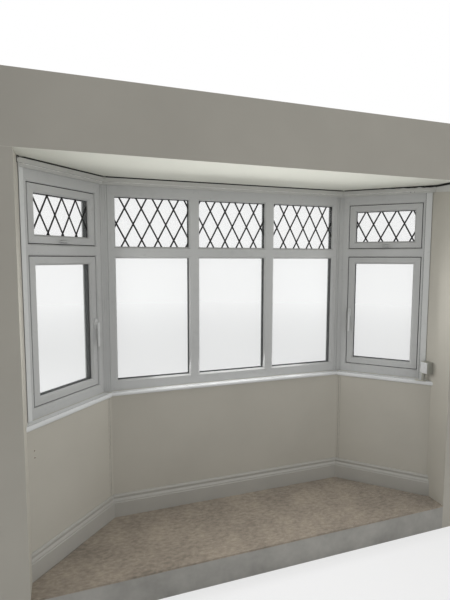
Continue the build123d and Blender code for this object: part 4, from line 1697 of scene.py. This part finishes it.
@dataclass
class OpenJointShadow:
    """A dark strip of painted shadow in the open joint between the head trim and the ceiling, wider towards
    the reveals.
    """

    depth: float = 38 * MM
    return_t: float = 12 * MM
    return_end: float = 0.316
    return_drop: float = 14 * MM
    return_w: float = 2.4 * MM
    right_over: float = 22 * MM
    left_short: float = 8 * MM
    ragged: float = 2.2 * MM
    skin: float = 0.5 * MM
    step: float = 12 * MM
    waves: float = 30.0

    def strip(self, run: Run, start: float, end: float, seed: float, wide: float, drop: float) -> Piece:
        """One dark strip of painted shadow under the ceiling, with an uneven edge towards the room.

        Args:
            run: The face of the bay.
            start: Where it starts along the run.
            end: Where it ends.
            seed: Shifts the unevenness.
            wide: How far it reaches past the trim.
            drop: How far it opens downwards at its end.

        Returns:
            The strip.
        """
        low = (start, -self.depth, CEILING_Z - self.skin)
        strip = Bench.block("joint", low, (end, -0.2 * MM, CEILING_Z + self.skin / 2))
        Bench.divide(strip, 0, int((end - start) / self.step))
        for vertex in strip.data.vertices:
            if vertex.co.y < -self.depth / 2:
                sway = noise.noise(Vector((vertex.co.x * self.waves, seed, 0.0)))
                vertex.co.y -= wide + self.ragged * (0.5 + sway)
                if vertex.co.z < CEILING_Z:
                    vertex.co.z -= drop * (1.0 + 0.5 * sway) * vertex.co.x / end
        if run is LEFT:
            strip.data.transform(FLIP)
            Bench.outward(strip)
        Bench.seat(strip, run)
        return strip

    def over_return(self, start: Vector) -> Piece:
        """The painted shadow of the joint carried on over the trim's short return at the right-hand reveal.

        Args:
            start: Where the strip over the right wing ends.

        Returns:
            The strip.
        """
        x, z = MOUTH_X - self.return_t - 0.6 * MM, CEILING_Z - self.return_drop / 2
        ends = [Vector((x, start.y, z)), Vector((x, -self.return_end, z))]
        size = (self.return_w, self.return_drop)
        return Bench.strip("return_joint", ends, *size, ragged=0.25, step=self.step)

    def build(self) -> None:
        """Make the painted shadow strips over the three runs and the right-hand return."""
        edge = self.depth * HALF_TAN
        right_end = WING_FRAME.width + self.right_over
        left_end = WING_FRAME.width - self.left_short
        pieces = [
            self.strip(FRONT, edge, FRONT_FRAME.width - edge, seed=3.0, wide=0.0, drop=2.5 * MM),
            self.strip(RIGHT, edge, right_end, seed=7.0, wide=1.6 * MM, drop=13 * MM),
            self.strip(LEFT, edge, left_end, seed=11.0, wide=1.2 * MM, drop=6 * MM),
            self.over_return(RIGHT.point(right_end, -self.depth, 0.0)),
        ]
        # the strips are painted shadow: dark sheets where the gap lies only in shade
        Bench.finish("open_joint_shadow", pieces, SHADOW_LINE, "gasket", angle=0.0)


@dataclass
class PostRibs:
    """Slim upright ribs on the covers of the two bay posts."""

    width: float = 4.4 * MM
    height: float = 5.0 * MM
    face: float = 8 * MM
    places: tuple[float, ...] = (5 * MM, -9 * MM, -23 * MM)
    end_gap: float = 1.5 * MM

    def build(self) -> None:
        """Set three ribs on each post."""
        ribs = []
        y = FRAME_Y - self.face
        heights = (FRAME_Z + self.end_gap, FRAME_Z + FRAME_H - self.end_gap)
        for sign in SIGNS:
            for place in self.places:
                line = [Vector((sign * (CORNER_X + place), y, z)) for z in heights]
                ribs.append(Bench.strip("rib", line, self.width, self.height, ROOMWARDS, step=1.0))
        Bench.finish("post_ribs", ribs, PROFILE, "upvc")


@dataclass
class Caulking:
    """Hand-run caulk, filler and cracks where boards, trims and walls meet, and painted shade lines at the
    feet of the cover strips.
    """

    wall_in: float = 30 * MM
    splay_wall_in: float = 44 * MM
    nose_front: float = 42 * MM
    nose_splay: float = 56 * MM
    nose_gap: float = 8 * MM
    back_gap: float = 3 * MM
    trim_step: float = 20 * MM
    trim_lower: float = 16 * MM
    right_short: float = 12 * MM
    left_short: float = 14 * MM
    filler_from: float = 540 * MM
    filler_to: float = 608 * MM
    filler_in: float = 48 * MM
    strip_left: float = 19.5 * MM
    strip_right: float = 31 * MM
    strip_gap: float = 3 * MM
    mitre_size: Pair = (9 * MM, 1.6 * MM)
    corner_size: Pair = (11 * MM, 2.4 * MM)
    trim_size: Pair = (3.6 * MM, 2.2 * MM)
    filler_size: Pair = (22 * MM, 2.4 * MM)
    foot_shadow_size: Pair = (2.0 * MM, 0.8 * MM)
    crack_t: float = 0.5 * MM
    crack_shift: float = 12 * MM
    crack_sizes: tuple[Pair, ...] = ((7 * MM, 1.3 * MM), (19 * MM, 0.7 * MM))

    def __post_init__(self) -> None:
        """Find the wall between the skirting and the boards."""
        self.wall_low, self.wall_high = high_of("skirting").z, low_of("window_board_right").z

    def turn(self, sign: float, front_in: float, splay_in: float, z: float) -> Vector:
        """The corner between two lines set into the room from the frames' inner faces."""
        x = CORNER_X - splay_in / math.sin(SLANT) + front_in / math.tan(SLANT)
        return Vector((sign * x, FRAME_Y - front_in, z))

    def mitre(self, sign: float) -> Piece:
        """Caulk over one mitre of the window boards.

        Args:
            sign: 1 for the right one and -1 for the left one.

        Returns:
            The caulk.
        """
        back = self.turn(sign, self.back_gap, self.back_gap, FRAME_Z)
        nose = self.turn(sign, self.nose_front - self.nose_gap, self.nose_splay - self.nose_gap, FRAME_Z)
        return Bench.strip("mitre_caulk", [back, nose], *self.mitre_size, ragged=0.6, step=8 * MM)

    def corner(self, sign: float) -> Piece:
        """Caulk in one upright corner of the walls, from the skirting to the boards.

        Args:
            sign: 1 for the right one and -1 for the left one.

        Returns:
            The caulk.
        """
        heights = (self.wall_low, self.wall_high)
        ends = [self.turn(sign, self.wall_in, self.splay_wall_in, z) for z in heights]
        up = Vector((-sign * math.sin(SLANT / 2), -math.cos(SLANT / 2), 0.0))
        return Bench.strip("corner_caulk", ends, *self.corner_size, up, ragged=0.5)

    def trims(self) -> list[Piece]:
        """Ragged caulk along the step of the head trim.

        Returns:
            The caulk of the three runs.
        """
        made = []
        edge = self.trim_step * HALF_TAN
        for run, end in (
            (FRONT, FRONT_FRAME.width - edge),
            (RIGHT, WING_FRAME.width - self.right_short),
            (LEFT, WING_FRAME.width - self.left_short),
        ):
            line = run.level(edge, end, -self.trim_step, FRAME_Z + (FRAME_H + self.trim_lower))
            name = f"trim_caulk_{run.side.value}"
            caulk = Bench.strip(name, line, *self.trim_size, run.inwards(), ragged=0.9, step=9 * MM)
            made.append(caulk)
        return made

    def filler(self) -> Piece:
        """A smear of filler over the right-hand board's end, at the reveal.

        Returns:
            The filler.
        """
        line = RIGHT.level(self.filler_from, self.filler_to, -self.filler_in, FRAME_Z + 0.4 * MM)
        return Bench.strip("board_filler", line, *self.filler_size, ragged=0.7, step=6 * MM)

    def cracks(self) -> list[Piece]:
        """Hairline cracks beside the caulk of the walls' corners.

        Returns:
            The cracks.
        """
        made = []
        corner = self.splay_wall_in * HALF_TAN
        for run in (LEFT, RIGHT):
            for along, size in self.crack_sizes:
                place = corner + along - self.crack_shift
                ends = run.upright(place, -self.splay_wall_in, self.wall_low, self.wall_high)
                name = f"crack_{along:.3f}"
                crack = Bench.strip(name, ends, size, self.crack_t, run.inwards(), ragged=1.0, step=9 * MM)
                made.append(crack)
        return made

    def strip_foot_shadow(self, run: Run, wide: float) -> Piece:
        """A dark hairline of painted shade on a side frame, along the foot of its cover strip.

        Args:
            run: The wing.
            wide: The cover strip's width.

        Returns:
            The hairline.
        """
        along = WING_FRAME.width - self.strip_gap - wide - self.foot_shadow_size[0] / 2
        ends = run.upright(along, -0.2 * MM, FRAME_Z + 0.5 * MM, FRAME_Z + FRAME_H)
        name = f"foot_{run.side.value}"
        return Bench.strip(name, ends, *self.foot_shadow_size, run.inwards(), ragged=0.3, step=20 * MM)

    def build(self) -> None:
        """Run the caulk, the filler, the cracks and the painted shade lines at the cover strips' feet."""
        Bench.finish("mitre_caulk", [self.mitre(sign) for sign in SIGNS], CAULK, "gloss_paint")
        Bench.finish("trim_caulk", self.trims(), TRIM_CAULK, "gloss_paint")
        Bench.finish("corner_caulk", [self.corner(sign) for sign in SIGNS], WALL_PAINT, "wall_paint")
        Bench.finish("board_filler", [self.filler()], CAULK, "gloss_paint")
        Bench.finish("wall_cracks", self.cracks(), SHADOW_LINE, "gasket", angle=0.0)
        foot_shadows = [self.strip_foot_shadow(RIGHT, self.strip_right), self.strip_foot_shadow(LEFT, self.strip_left)]
        # the dark lines at the cover strips' feet are painted shade
        Bench.finish("strip_foot_shadows", foot_shadows, SHADOW_LINE, "gasket", angle=0.0)


@dataclass
class BoardNoses:
    """A fine dark line of painted shade behind the rounded nose of each window board, where its top turns
    down into the nose.
    """

    groove_w: float = 1.5 * MM
    groove_t: float = 0.3 * MM
    front_in: float = 31 * MM
    splay_in: float = 45 * MM
    over: float = 44 * MM
    step: float = 40 * MM

    def build(self) -> None:
        """Draw the painted shade line along the three boards."""
        turn = self.splay_in / math.sin(SLANT) - self.front_in / math.tan(SLANT)
        lines = {FRONT: FRONT.level(turn, FRONT_FRAME.width - turn, -self.front_in, FRAME_Z)}
        for run in WINGS:
            start, end = self.splay_in * HALF_TAN, WING_FRAME.width + self.over
            lines[run] = run.level(start, end, -self.splay_in, FRAME_Z)
        made = []
        for run, line in lines.items():
            name = f"groove_{run.side.value}"
            made.append(Bench.strip(name, line, self.groove_w, self.groove_t, ragged=0.3, step=self.step))
        # painted shade: a dark line where the board's top rounds into its nose
        Bench.finish("nose_shade_lines", made, SHADOW_LINE, "gasket", angle=0.0)


@dataclass
class Fixings:
    """Painted shadow in the screw holes of the head trim and in the open end of the trim, and wall plugs
    under the left board.
    """

    hole: float = 2.6 * MM
    hole_up: float = 9 * MM
    hole_places: Pair = (0.462, 0.487)
    trim_in: float = 20 * MM
    plug: float = 4.0 * MM
    rim: float = 1.7
    plug_along: float = 0.598
    plug_levels: Pair = (0.836, 0.799)
    wall_in: float = 44 * MM
    end_low: Point = (0.0, -0.152, -32 * MM)
    end_high: Point = (11 * MM, -0.128, 0.0)
    end_step: float = 20 * MM
    end_taper: float = 0.25
    sunk: float = 0.3
    narrow: float = 0.7

    def dot(self, run: Run, place: Point, size: float, deep: float) -> Piece:
        """A shallow round mark on a run's face.

        Args:
            run: The face of the bay.
            place: Its middle as (along, out, up).
            size: Its radius at the wall.
            deep: How far it stands out.

        Returns:
            The mark.
        """
        face = run.matrix().to_3x3() @ ROOMWARDS
        centre = run.point(*place)
        low, high = centre + face * deep * self.sunk, centre + face * deep
        mark = Bench.drum("mark", size, low, high, tip=size * self.narrow)
        Bench.soften(mark, deep * self.sunk)
        return mark

    def open_end_shadow(self) -> Piece:
        """A dark patch of painted shadow in the open left end of the trim, narrower below its step.

        Returns:
            The patch.
        """
        place = Vector((-MOUTH_X, 0.0, CEILING_Z))
        end = Bench.block("open_end_shadow", place + Vector(self.end_low), place + Vector(self.end_high))
        for vertex in end.data.vertices:
            if vertex.co.z < CEILING_Z - self.end_step:
                vertex.co.x = -MOUTH_X + (vertex.co.x + MOUTH_X) * self.end_taper
        Bench.soften(end, 0.8 * MM, segments=1)
        return end

    def build(self) -> None:
        """Make the painted shadows of the holes and of the open end, and the plugs."""
        level = FRAME_Z + FRAME_H + self.hole_up
        places = [(along, -self.trim_in, level) for along in self.hole_places]
        hole_shadows = [self.dot(RIGHT, place, self.hole, 0.6 * MM) for place in places]
        places = [(self.plug_along, -self.wall_in, level) for level in self.plug_levels]
        plugs = [self.dot(LEFT, place, self.plug, 1.2 * MM) for place in places]
        rims = [self.dot(LEFT, place, self.plug * self.rim, 0.5 * MM) for place in places]
        Bench.finish("wall_plugs", plugs, PLUG, "gasket", angle=40.0)
        Bench.finish("plug_rims", rims, CAULK, "wall_paint", angle=40.0)
        # painted shadow: dark dots in the screw holes and a dark patch in the trim's open end
        Bench.finish("hole_and_end_shadows", [*hole_shadows, self.open_end_shadow()], SHADOW_LINE, "gasket", angle=0.0)


@dataclass
class BoxLid:
    """The lid of the small box on the reveal, with its two screws."""

    foot: float = 54 * MM
    lid_t: float = 2.2 * MM
    edge: float = 3.0 * MM
    screw: float = 3.2 * MM
    screw_t: float = 0.9 * MM
    screw_in: float = 14 * MM

    def build(self) -> None:
        """Make the lid and its screws."""
        low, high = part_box("junction_box")
        foot = FRAME_Z + self.foot
        start = (low.x - self.lid_t, low.y + self.edge, foot + self.edge)
        lid = Bench.block("lid", start, (low.x + 1 * MM, high.y - self.edge, high.z - self.edge))
        Bench.soften(lid, 1.4 * MM, segments=3)
        pieces = [lid]
        for level in (foot + self.screw_in, high.z - self.screw_in):
            at = Vector((low.x - self.lid_t, (low.y + high.y) / 2, level))
            pieces.append(Bench.dome("screw", at, (self.screw_t, self.screw, self.screw), rings=8))
        Bench.finish("box_lid", pieces, BOX_PLASTIC, "box_plastic", angle=40.0)


@dataclass
class Outside:
    """Roof edging, rolls and flashing, fascia joints, soffit vents, cill caps and outer sealant."""

    edge_t: float = 3.4 * MM
    edge_h: float = 52 * MM
    roll_w: float = 34 * MM
    roll_h: float = 24 * MM
    rolls: tuple[float, ...] = (-0.78, -0.26, 0.26, 0.78)
    roll_from: float = 25 * MM
    roll_gap: float = 6 * MM
    roll_lift: float = 0.2
    fall: float = 22 * MM
    flash_w: float = 96 * MM
    apron_w: float = 70 * MM
    flash_t: float = 3.0 * MM
    flash_y: float = 9 * MM
    flash_lift: float = 0.42
    apron_gap: float = 8 * MM
    apron_lift: float = 2 * MM
    apron_fall: float = 0.04
    end_gap: float = 12 * MM
    lap: float = 560 * MM
    overlap: float = 18 * MM
    lap_rise: float = 0.8 * MM
    cap_w: float = 34 * MM
    cap_t: float = 3.0 * MM
    vents: tuple[float, ...] = (-0.6, 0.0, 0.6)
    vent: float = 34 * MM
    vent_out: float = 172 * MM
    vent_step: float = 0.27
    vent_tip: float = 0.92
    cill_gap: float = 9 * MM
    cill_fall: float = 14 * MM
    cill_slope: float = 0.08
    bead_gap: float = 4 * MM
    bead_size: Pair = (6 * MM, 5 * MM)

    def ring(self, node: str, z: float, grow: float) -> list[Vector]:
        """The outline of a node that turns the two corners, from the left wall to the right one.

        Args:
            node: The node's name.
            z: The outline's height.
            grow: How far it lies outside the node.

        Returns:
            Its four points.
        """
        out = high_of(node).y - FRAME_Y + grow
        x = CORNER_X + out * HALF_TAN
        y = FRAME_Y + out
        reach = x + FRAME_Y + out
        end = min(reach, PARTY_X - 3 * MM)
        foot = reach - end
        return [Vector((-end, foot, z)), Vector((-x, y, z)), Vector((x, y, z)), Vector((end, foot, z))]

    def edging(self) -> None:
        """The drip edge over the ends of the deck."""
        middle = high_of("roof_covering").z - self.edge_h / 2
        points = self.ring("roof_covering", middle, self.edge_t / 2)
        pieces = []
        for ends in zip(points, points[1:]):
            pieces.append(Bench.strip("drip_edge", ends, self.edge_t, self.edge_h, step=1.0))
        Bench.finish("drip_edge", pieces, ROOF_SHEET, "lead_sheet", angle=40.0)

    def roof_rolls(self) -> None:
        """The rolls between the sheets, falling away from the wall."""
        high = high_of("roof_covering")
        level = self.roll_h * self.roll_lift
        made = []
        for x in self.rolls:
            start = Vector((x, self.roll_from, high.z + level))
            end = Vector((x, high.y - self.roll_gap, high.z - self.fall + level))
            made.append(Bench.strip("roll", [start, end], self.roll_w, self.roll_h, ragged=0.08))
        Bench.finish("roof_rolls", made, ROOF_SHEET, "lead_sheet")

    def flashing(self) -> None:
        """The flashing against the wall, in lapped lengths of an upstand and an apron each."""
        high = high_of("roof_covering")
        laps = []
        count = int(2 * high.x / self.lap)
        pitch = 2 * (high.x - self.end_gap) / count
        reach = high.x - self.apron_w - self.apron_gap
        for index in range(count):
            start = -high.x + self.end_gap + index * pitch
            ends = (start, start + pitch + (self.overlap if index < count - 1 else 0.0))
            rise = (index % 2) * self.lap_rise
            wall = [Vector((x, self.flash_y + rise, high.z + self.flash_w * self.flash_lift)) for x in ends]
            away = Vector((0.0, 1.0, 0.0))
            size = (self.flash_w, self.flash_t)
            laps.append(Bench.strip(f"upstand_{index}", wall, *size, away, ragged=0.12))
            y, z = self.apron_w / 2 + rise, high.z + self.apron_lift + rise
            apron = [Vector((max(-reach, min(reach, x)), y, z)) for x in ends]
            up = Vector((0.0, self.apron_fall, 1.0))
            size = (self.apron_w, self.flash_t)
            laps.append(Bench.strip(f"apron_{index}", apron, *size, up, ragged=0.1))
        Bench.finish("wall_flashing", laps, ROOF_SHEET, "lead_sheet", angle=50.0)

    def fascia(self) -> None:
        """Cover strips on both sides of the fascia's two corners."""
        low, high = low_of("eaves"), high_of("eaves")
        points = self.ring("eaves", 0.0, self.cap_t / 3)
        caps = []
        for index, other in ((1, 0), (1, 2), (2, 1), (2, 3)):
            ahead = (points[other] - points[index]).normalized()
            up = Vector((-ahead.y, ahead.x, 0.0))
            foot = points[index] + ahead * (self.cap_w * 0.25 - 0.5 * MM)
            line = [foot + UP * z for z in (low.z, high.z - 1 * MM)]
            facing = up if up.y > 0.0 else -up
            caps.append(Bench.strip("fascia_cap", line, self.cap_w / 2, self.cap_t, facing, step=1.0))
        Bench.finish("fascia_caps", caps, EDGE_TRIM, "gloss_paint", angle=40.0)

    def soffit(self) -> None:
        """Round vents of three rings each in the soffit."""
        vents = []
        for x in self.vents:
            place = Vector((x, FRAME_Y + self.vent_out, low_of("eaves").z))
            for ring in range(3):
                size = self.vent * (1.0 - self.vent_step * ring)
                low = place - UP * (1 + ring) * MM
                vents.append(Bench.drum("vent", size, place, low, sides=32, tip=size * self.vent_tip))
        Bench.finish("soffit_vents", vents, EDGE_TRIM, "gloss_paint", angle=40.0)

    def cills(self) -> None:
        """Caps over the mitres of the cills, and the sealant between the cills and the frames."""
        high = high_of("cill_front")
        nose = high.y - FRAME_Y - self.cill_gap
        caps = []
        for sign in SIGNS:
            ends = []
            for reach, drop in ((FRAME_D + 2 * MM, 0.0), (nose, self.cill_fall)):
                x = CORNER_X + reach * HALF_TAN
                ends.append(Vector((sign * x, FRAME_Y + reach, high.z - drop + 0.3 * MM)))
            up = Vector((0.0, self.cill_slope, 1.0))
            caps.append(Bench.strip("cill_cap", ends, self.cap_w, self.cap_t, up, step=1.0))
        Bench.finish("cill_caps", caps, EDGE_TRIM, "upvc", angle=40.0)
        beads = []
        for run, width in ((FRONT, FRONT_FRAME.width), (RIGHT, WING_FRAME.width), (LEFT, WING_FRAME.width)):
            line = run.level(self.bead_gap, width - self.bead_gap, FRAME_D + 1 * MM, FRAME_Z + 1 * MM)
            name = f"outer_bead_{run.side.value}"
            beads.append(Bench.strip(name, line, *self.bead_size, ragged=0.35))
        Bench.finish("sealant_outside", beads, SEALANT, "upvc")

    def build(self) -> None:
        """Make the outside's trims."""
        self.edging()
        self.roof_rolls()
        self.flashing()
        self.fascia()
        self.soffit()
        self.cills()


class Dressing:
    """The finishes of the CAD nodes."""

    def build(self) -> None:
        """Dress every CAD node."""
        house = HouseWall("finish_house_wall", Tone.WALL.value, Tone.CEILING.value, CEILING_Z, PARTY_X)
        for finish, names in (
            (house, "header_wall pier_left pier_right"),
            (MORTAR, "wall_front wall_left wall_right"),
            (WALL_PAINT, "wall_plaster"),
            (CEILING_PAINT, "bay_ceiling"),
            (CONCRETE, "floor_slab"),
            (PILE, "carpet"),
            (SKIRTING, "skirting"),
            (GLOSS, "head_trim head_front head_right head_left eaves"),
            (BOARD_FRONT, "window_board_front"),
            (BOARD_RIGHT, "window_board_right"),
            (BOARD_LEFT, "window_board_left"),
            # the cover strips get the lighter copy of the frame plastic: painted light
            (COVER_STRIP_LIT, "jamb_trim"),
            (PROFILE, "frame_front frame_left frame_right beads bay_post_left bay_post_right"),
            (PROFILE, "casement_left casement_right fanlight_left fanlight_right"),
            (PROFILE, "cill_front cill_left cill_right"),
            (GLASS, "glass_front glass_left glass_right"),
            (LEAD, "leads"),
            (RUBBER, "gaskets"),
            (SPACER, "spacers"),
            (FITTING, "handle_left handle_right fanlight_catches"),
            # the box's body gets a darker tone than its lid: painted shade
            (BOX_BODY_SHADE, "junction_box"),
            (TIMBER, "roof_deck"),
            (ROOF_SHEET, "roof_covering"),
        ):
            for name in names.split():
                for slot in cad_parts[name].material_slots:
                    slot.material = finish.material()
                LOG.info("%s dressed as %s", name, finish.name)


@dataclass(frozen=True)
class Lamp:
    """A large soft lamp, unseen by the camera and by reflections."""

    name: str
    place: Point
    aim: Point
    size: float
    power: float

    def build(self) -> None:
        """Hang the lamp at its place and point it at its aim."""
        Bench.clear()
        bpy.ops.object.light_add(type="AREA", location=self.place)
        lamp = bpy.context.object
        lamp.name = self.name
        lamp.data.shape = "SQUARE"
        lamp.data.size = self.size
        lamp.data.energy = self.power
        lamp.rotation_mode = "QUATERNION"
        lamp.rotation_quaternion = (Vector(self.aim) - Vector(self.place)).to_track_quat("-Z", "Y")
        lamp.visible_camera = False
        lamp.visible_glossy = False


@dataclass
class Studio:
    """The pale floor, the soft lights and the camera at the photograph's place."""

    floor_size: float = 60.0
    eye: Point = (-1.0771, -2.5601, 1.8218)
    yaw: float = 19.516
    pitch: float = -5.314
    roll: float = 0.119
    lens: float = 27.01
    sky: float = 0.34
    lamps: tuple[Lamp, ...] = (
        Lamp("sky_light", (-0.6, 3.0, 6.8), (0.0, 0.2, 1.0), 4.5, 150.0),
        Lamp("window_light", (-3.6, 3.8, 2.2), (0.8, -0.1, 1.3), 3.0, 80.0),
        Lamp("day_light", (0.0, 0.26, 1.45), (0.0, -1.0, 1.2), 1.1, 12.0),
        Lamp("wing_light", (-1.03, 0.066, 1.55), (-0.323, -0.641, 1.55), 0.45, 4.0),
        Lamp("wing_light", (1.03, 0.066, 1.55), (0.323, -0.641, 1.55), 0.45, 4.0),
        Lamp("room_light", (2.4, -6.4, 2.5), (0.0, 0.3, 1.0), 4.2, 80.0),
    )

    def backdrop(self) -> None:
        """White surroundings for the camera and for reflections, softer light for the object."""
        world = bpy.data.worlds.new("studio_world")
        bpy.context.scene.world = world
        world.use_nodes = True
        board = NodeBoard(world.node_tree)
        level = board.span(board.seen(), 0.0, 1.0, self.sky, 1.0)
        light = board.node("Background", {"Color": (1.0, 1.0, 1.0, 1.0), "Strength": level})
        board.node("OutputWorld", {"Surface": light.outputs["Background"]})

    def floor(self) -> None:
        """A wide pale floor at the object's foot."""
        Bench.clear()
        bpy.ops.mesh.primitive_plane_add(size=self.floor_size, location=(0.0, 0.0, 0.0))
        piece = bpy.context.object
        piece.name = "studio_floor"
        piece.data.materials.append(STUDIO_FLOOR.material())

    def camera(self) -> None:
        """The camera at the photograph's place and angle."""
        yaw, pitch, roll = (math.radians(angle) for angle in (self.yaw, self.pitch, self.roll))
        ahead = Vector((math.sin(yaw) * math.cos(pitch), math.cos(yaw) * math.cos(pitch), math.sin(pitch)))
        right = ahead.cross(UP).normalized()
        above = right.cross(ahead)
        side = right * math.cos(roll) + above * math.sin(roll)
        top = above * math.cos(roll) - right * math.sin(roll)
        Bench.clear()
        bpy.ops.object.camera_add(location=self.eye)
        camera = bpy.context.object
        camera.name = "photo_camera"
        turn = Matrix((side, top, -ahead)).transposed()
        camera.matrix_world = Matrix.Translation(self.eye) @ turn.to_4x4()
        camera.data.sensor_fit = "AUTO"
        camera.data.sensor_width = 36.0
        camera.data.lens = self.lens
        camera.data.clip_start = 0.05
        camera.data.clip_end = 200.0
        bpy.context.scene.camera = camera

    def build(self) -> None:
        """Set the studio up."""
        self.backdrop()
        self.floor()
        for lamp in self.lamps:
            lamp.build()
        self.camera()
        bpy.context.scene.view_settings.view_transform = "Standard"


PARTS = (
    Dressing,
    Brickwork,
    CarpetFloor,
    LeadedLights,
    FrameDetails,
    Sealing,
    OpenJointShadow,
    CasementHandle,
    FanlightCatch,
    PostRibs,
    Caulking,
    BoardNoses,
    Fixings,
    BoxLid,
    Outside,
    Studio,
)


def main() -> None:
    """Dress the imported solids, add the detail pieces and set up the studio."""
    logging.basicConfig(level=logging.INFO, format="%(message)s")
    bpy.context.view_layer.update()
    for part in PARTS:
        part().build()


if __name__ == "__main__":
    main()
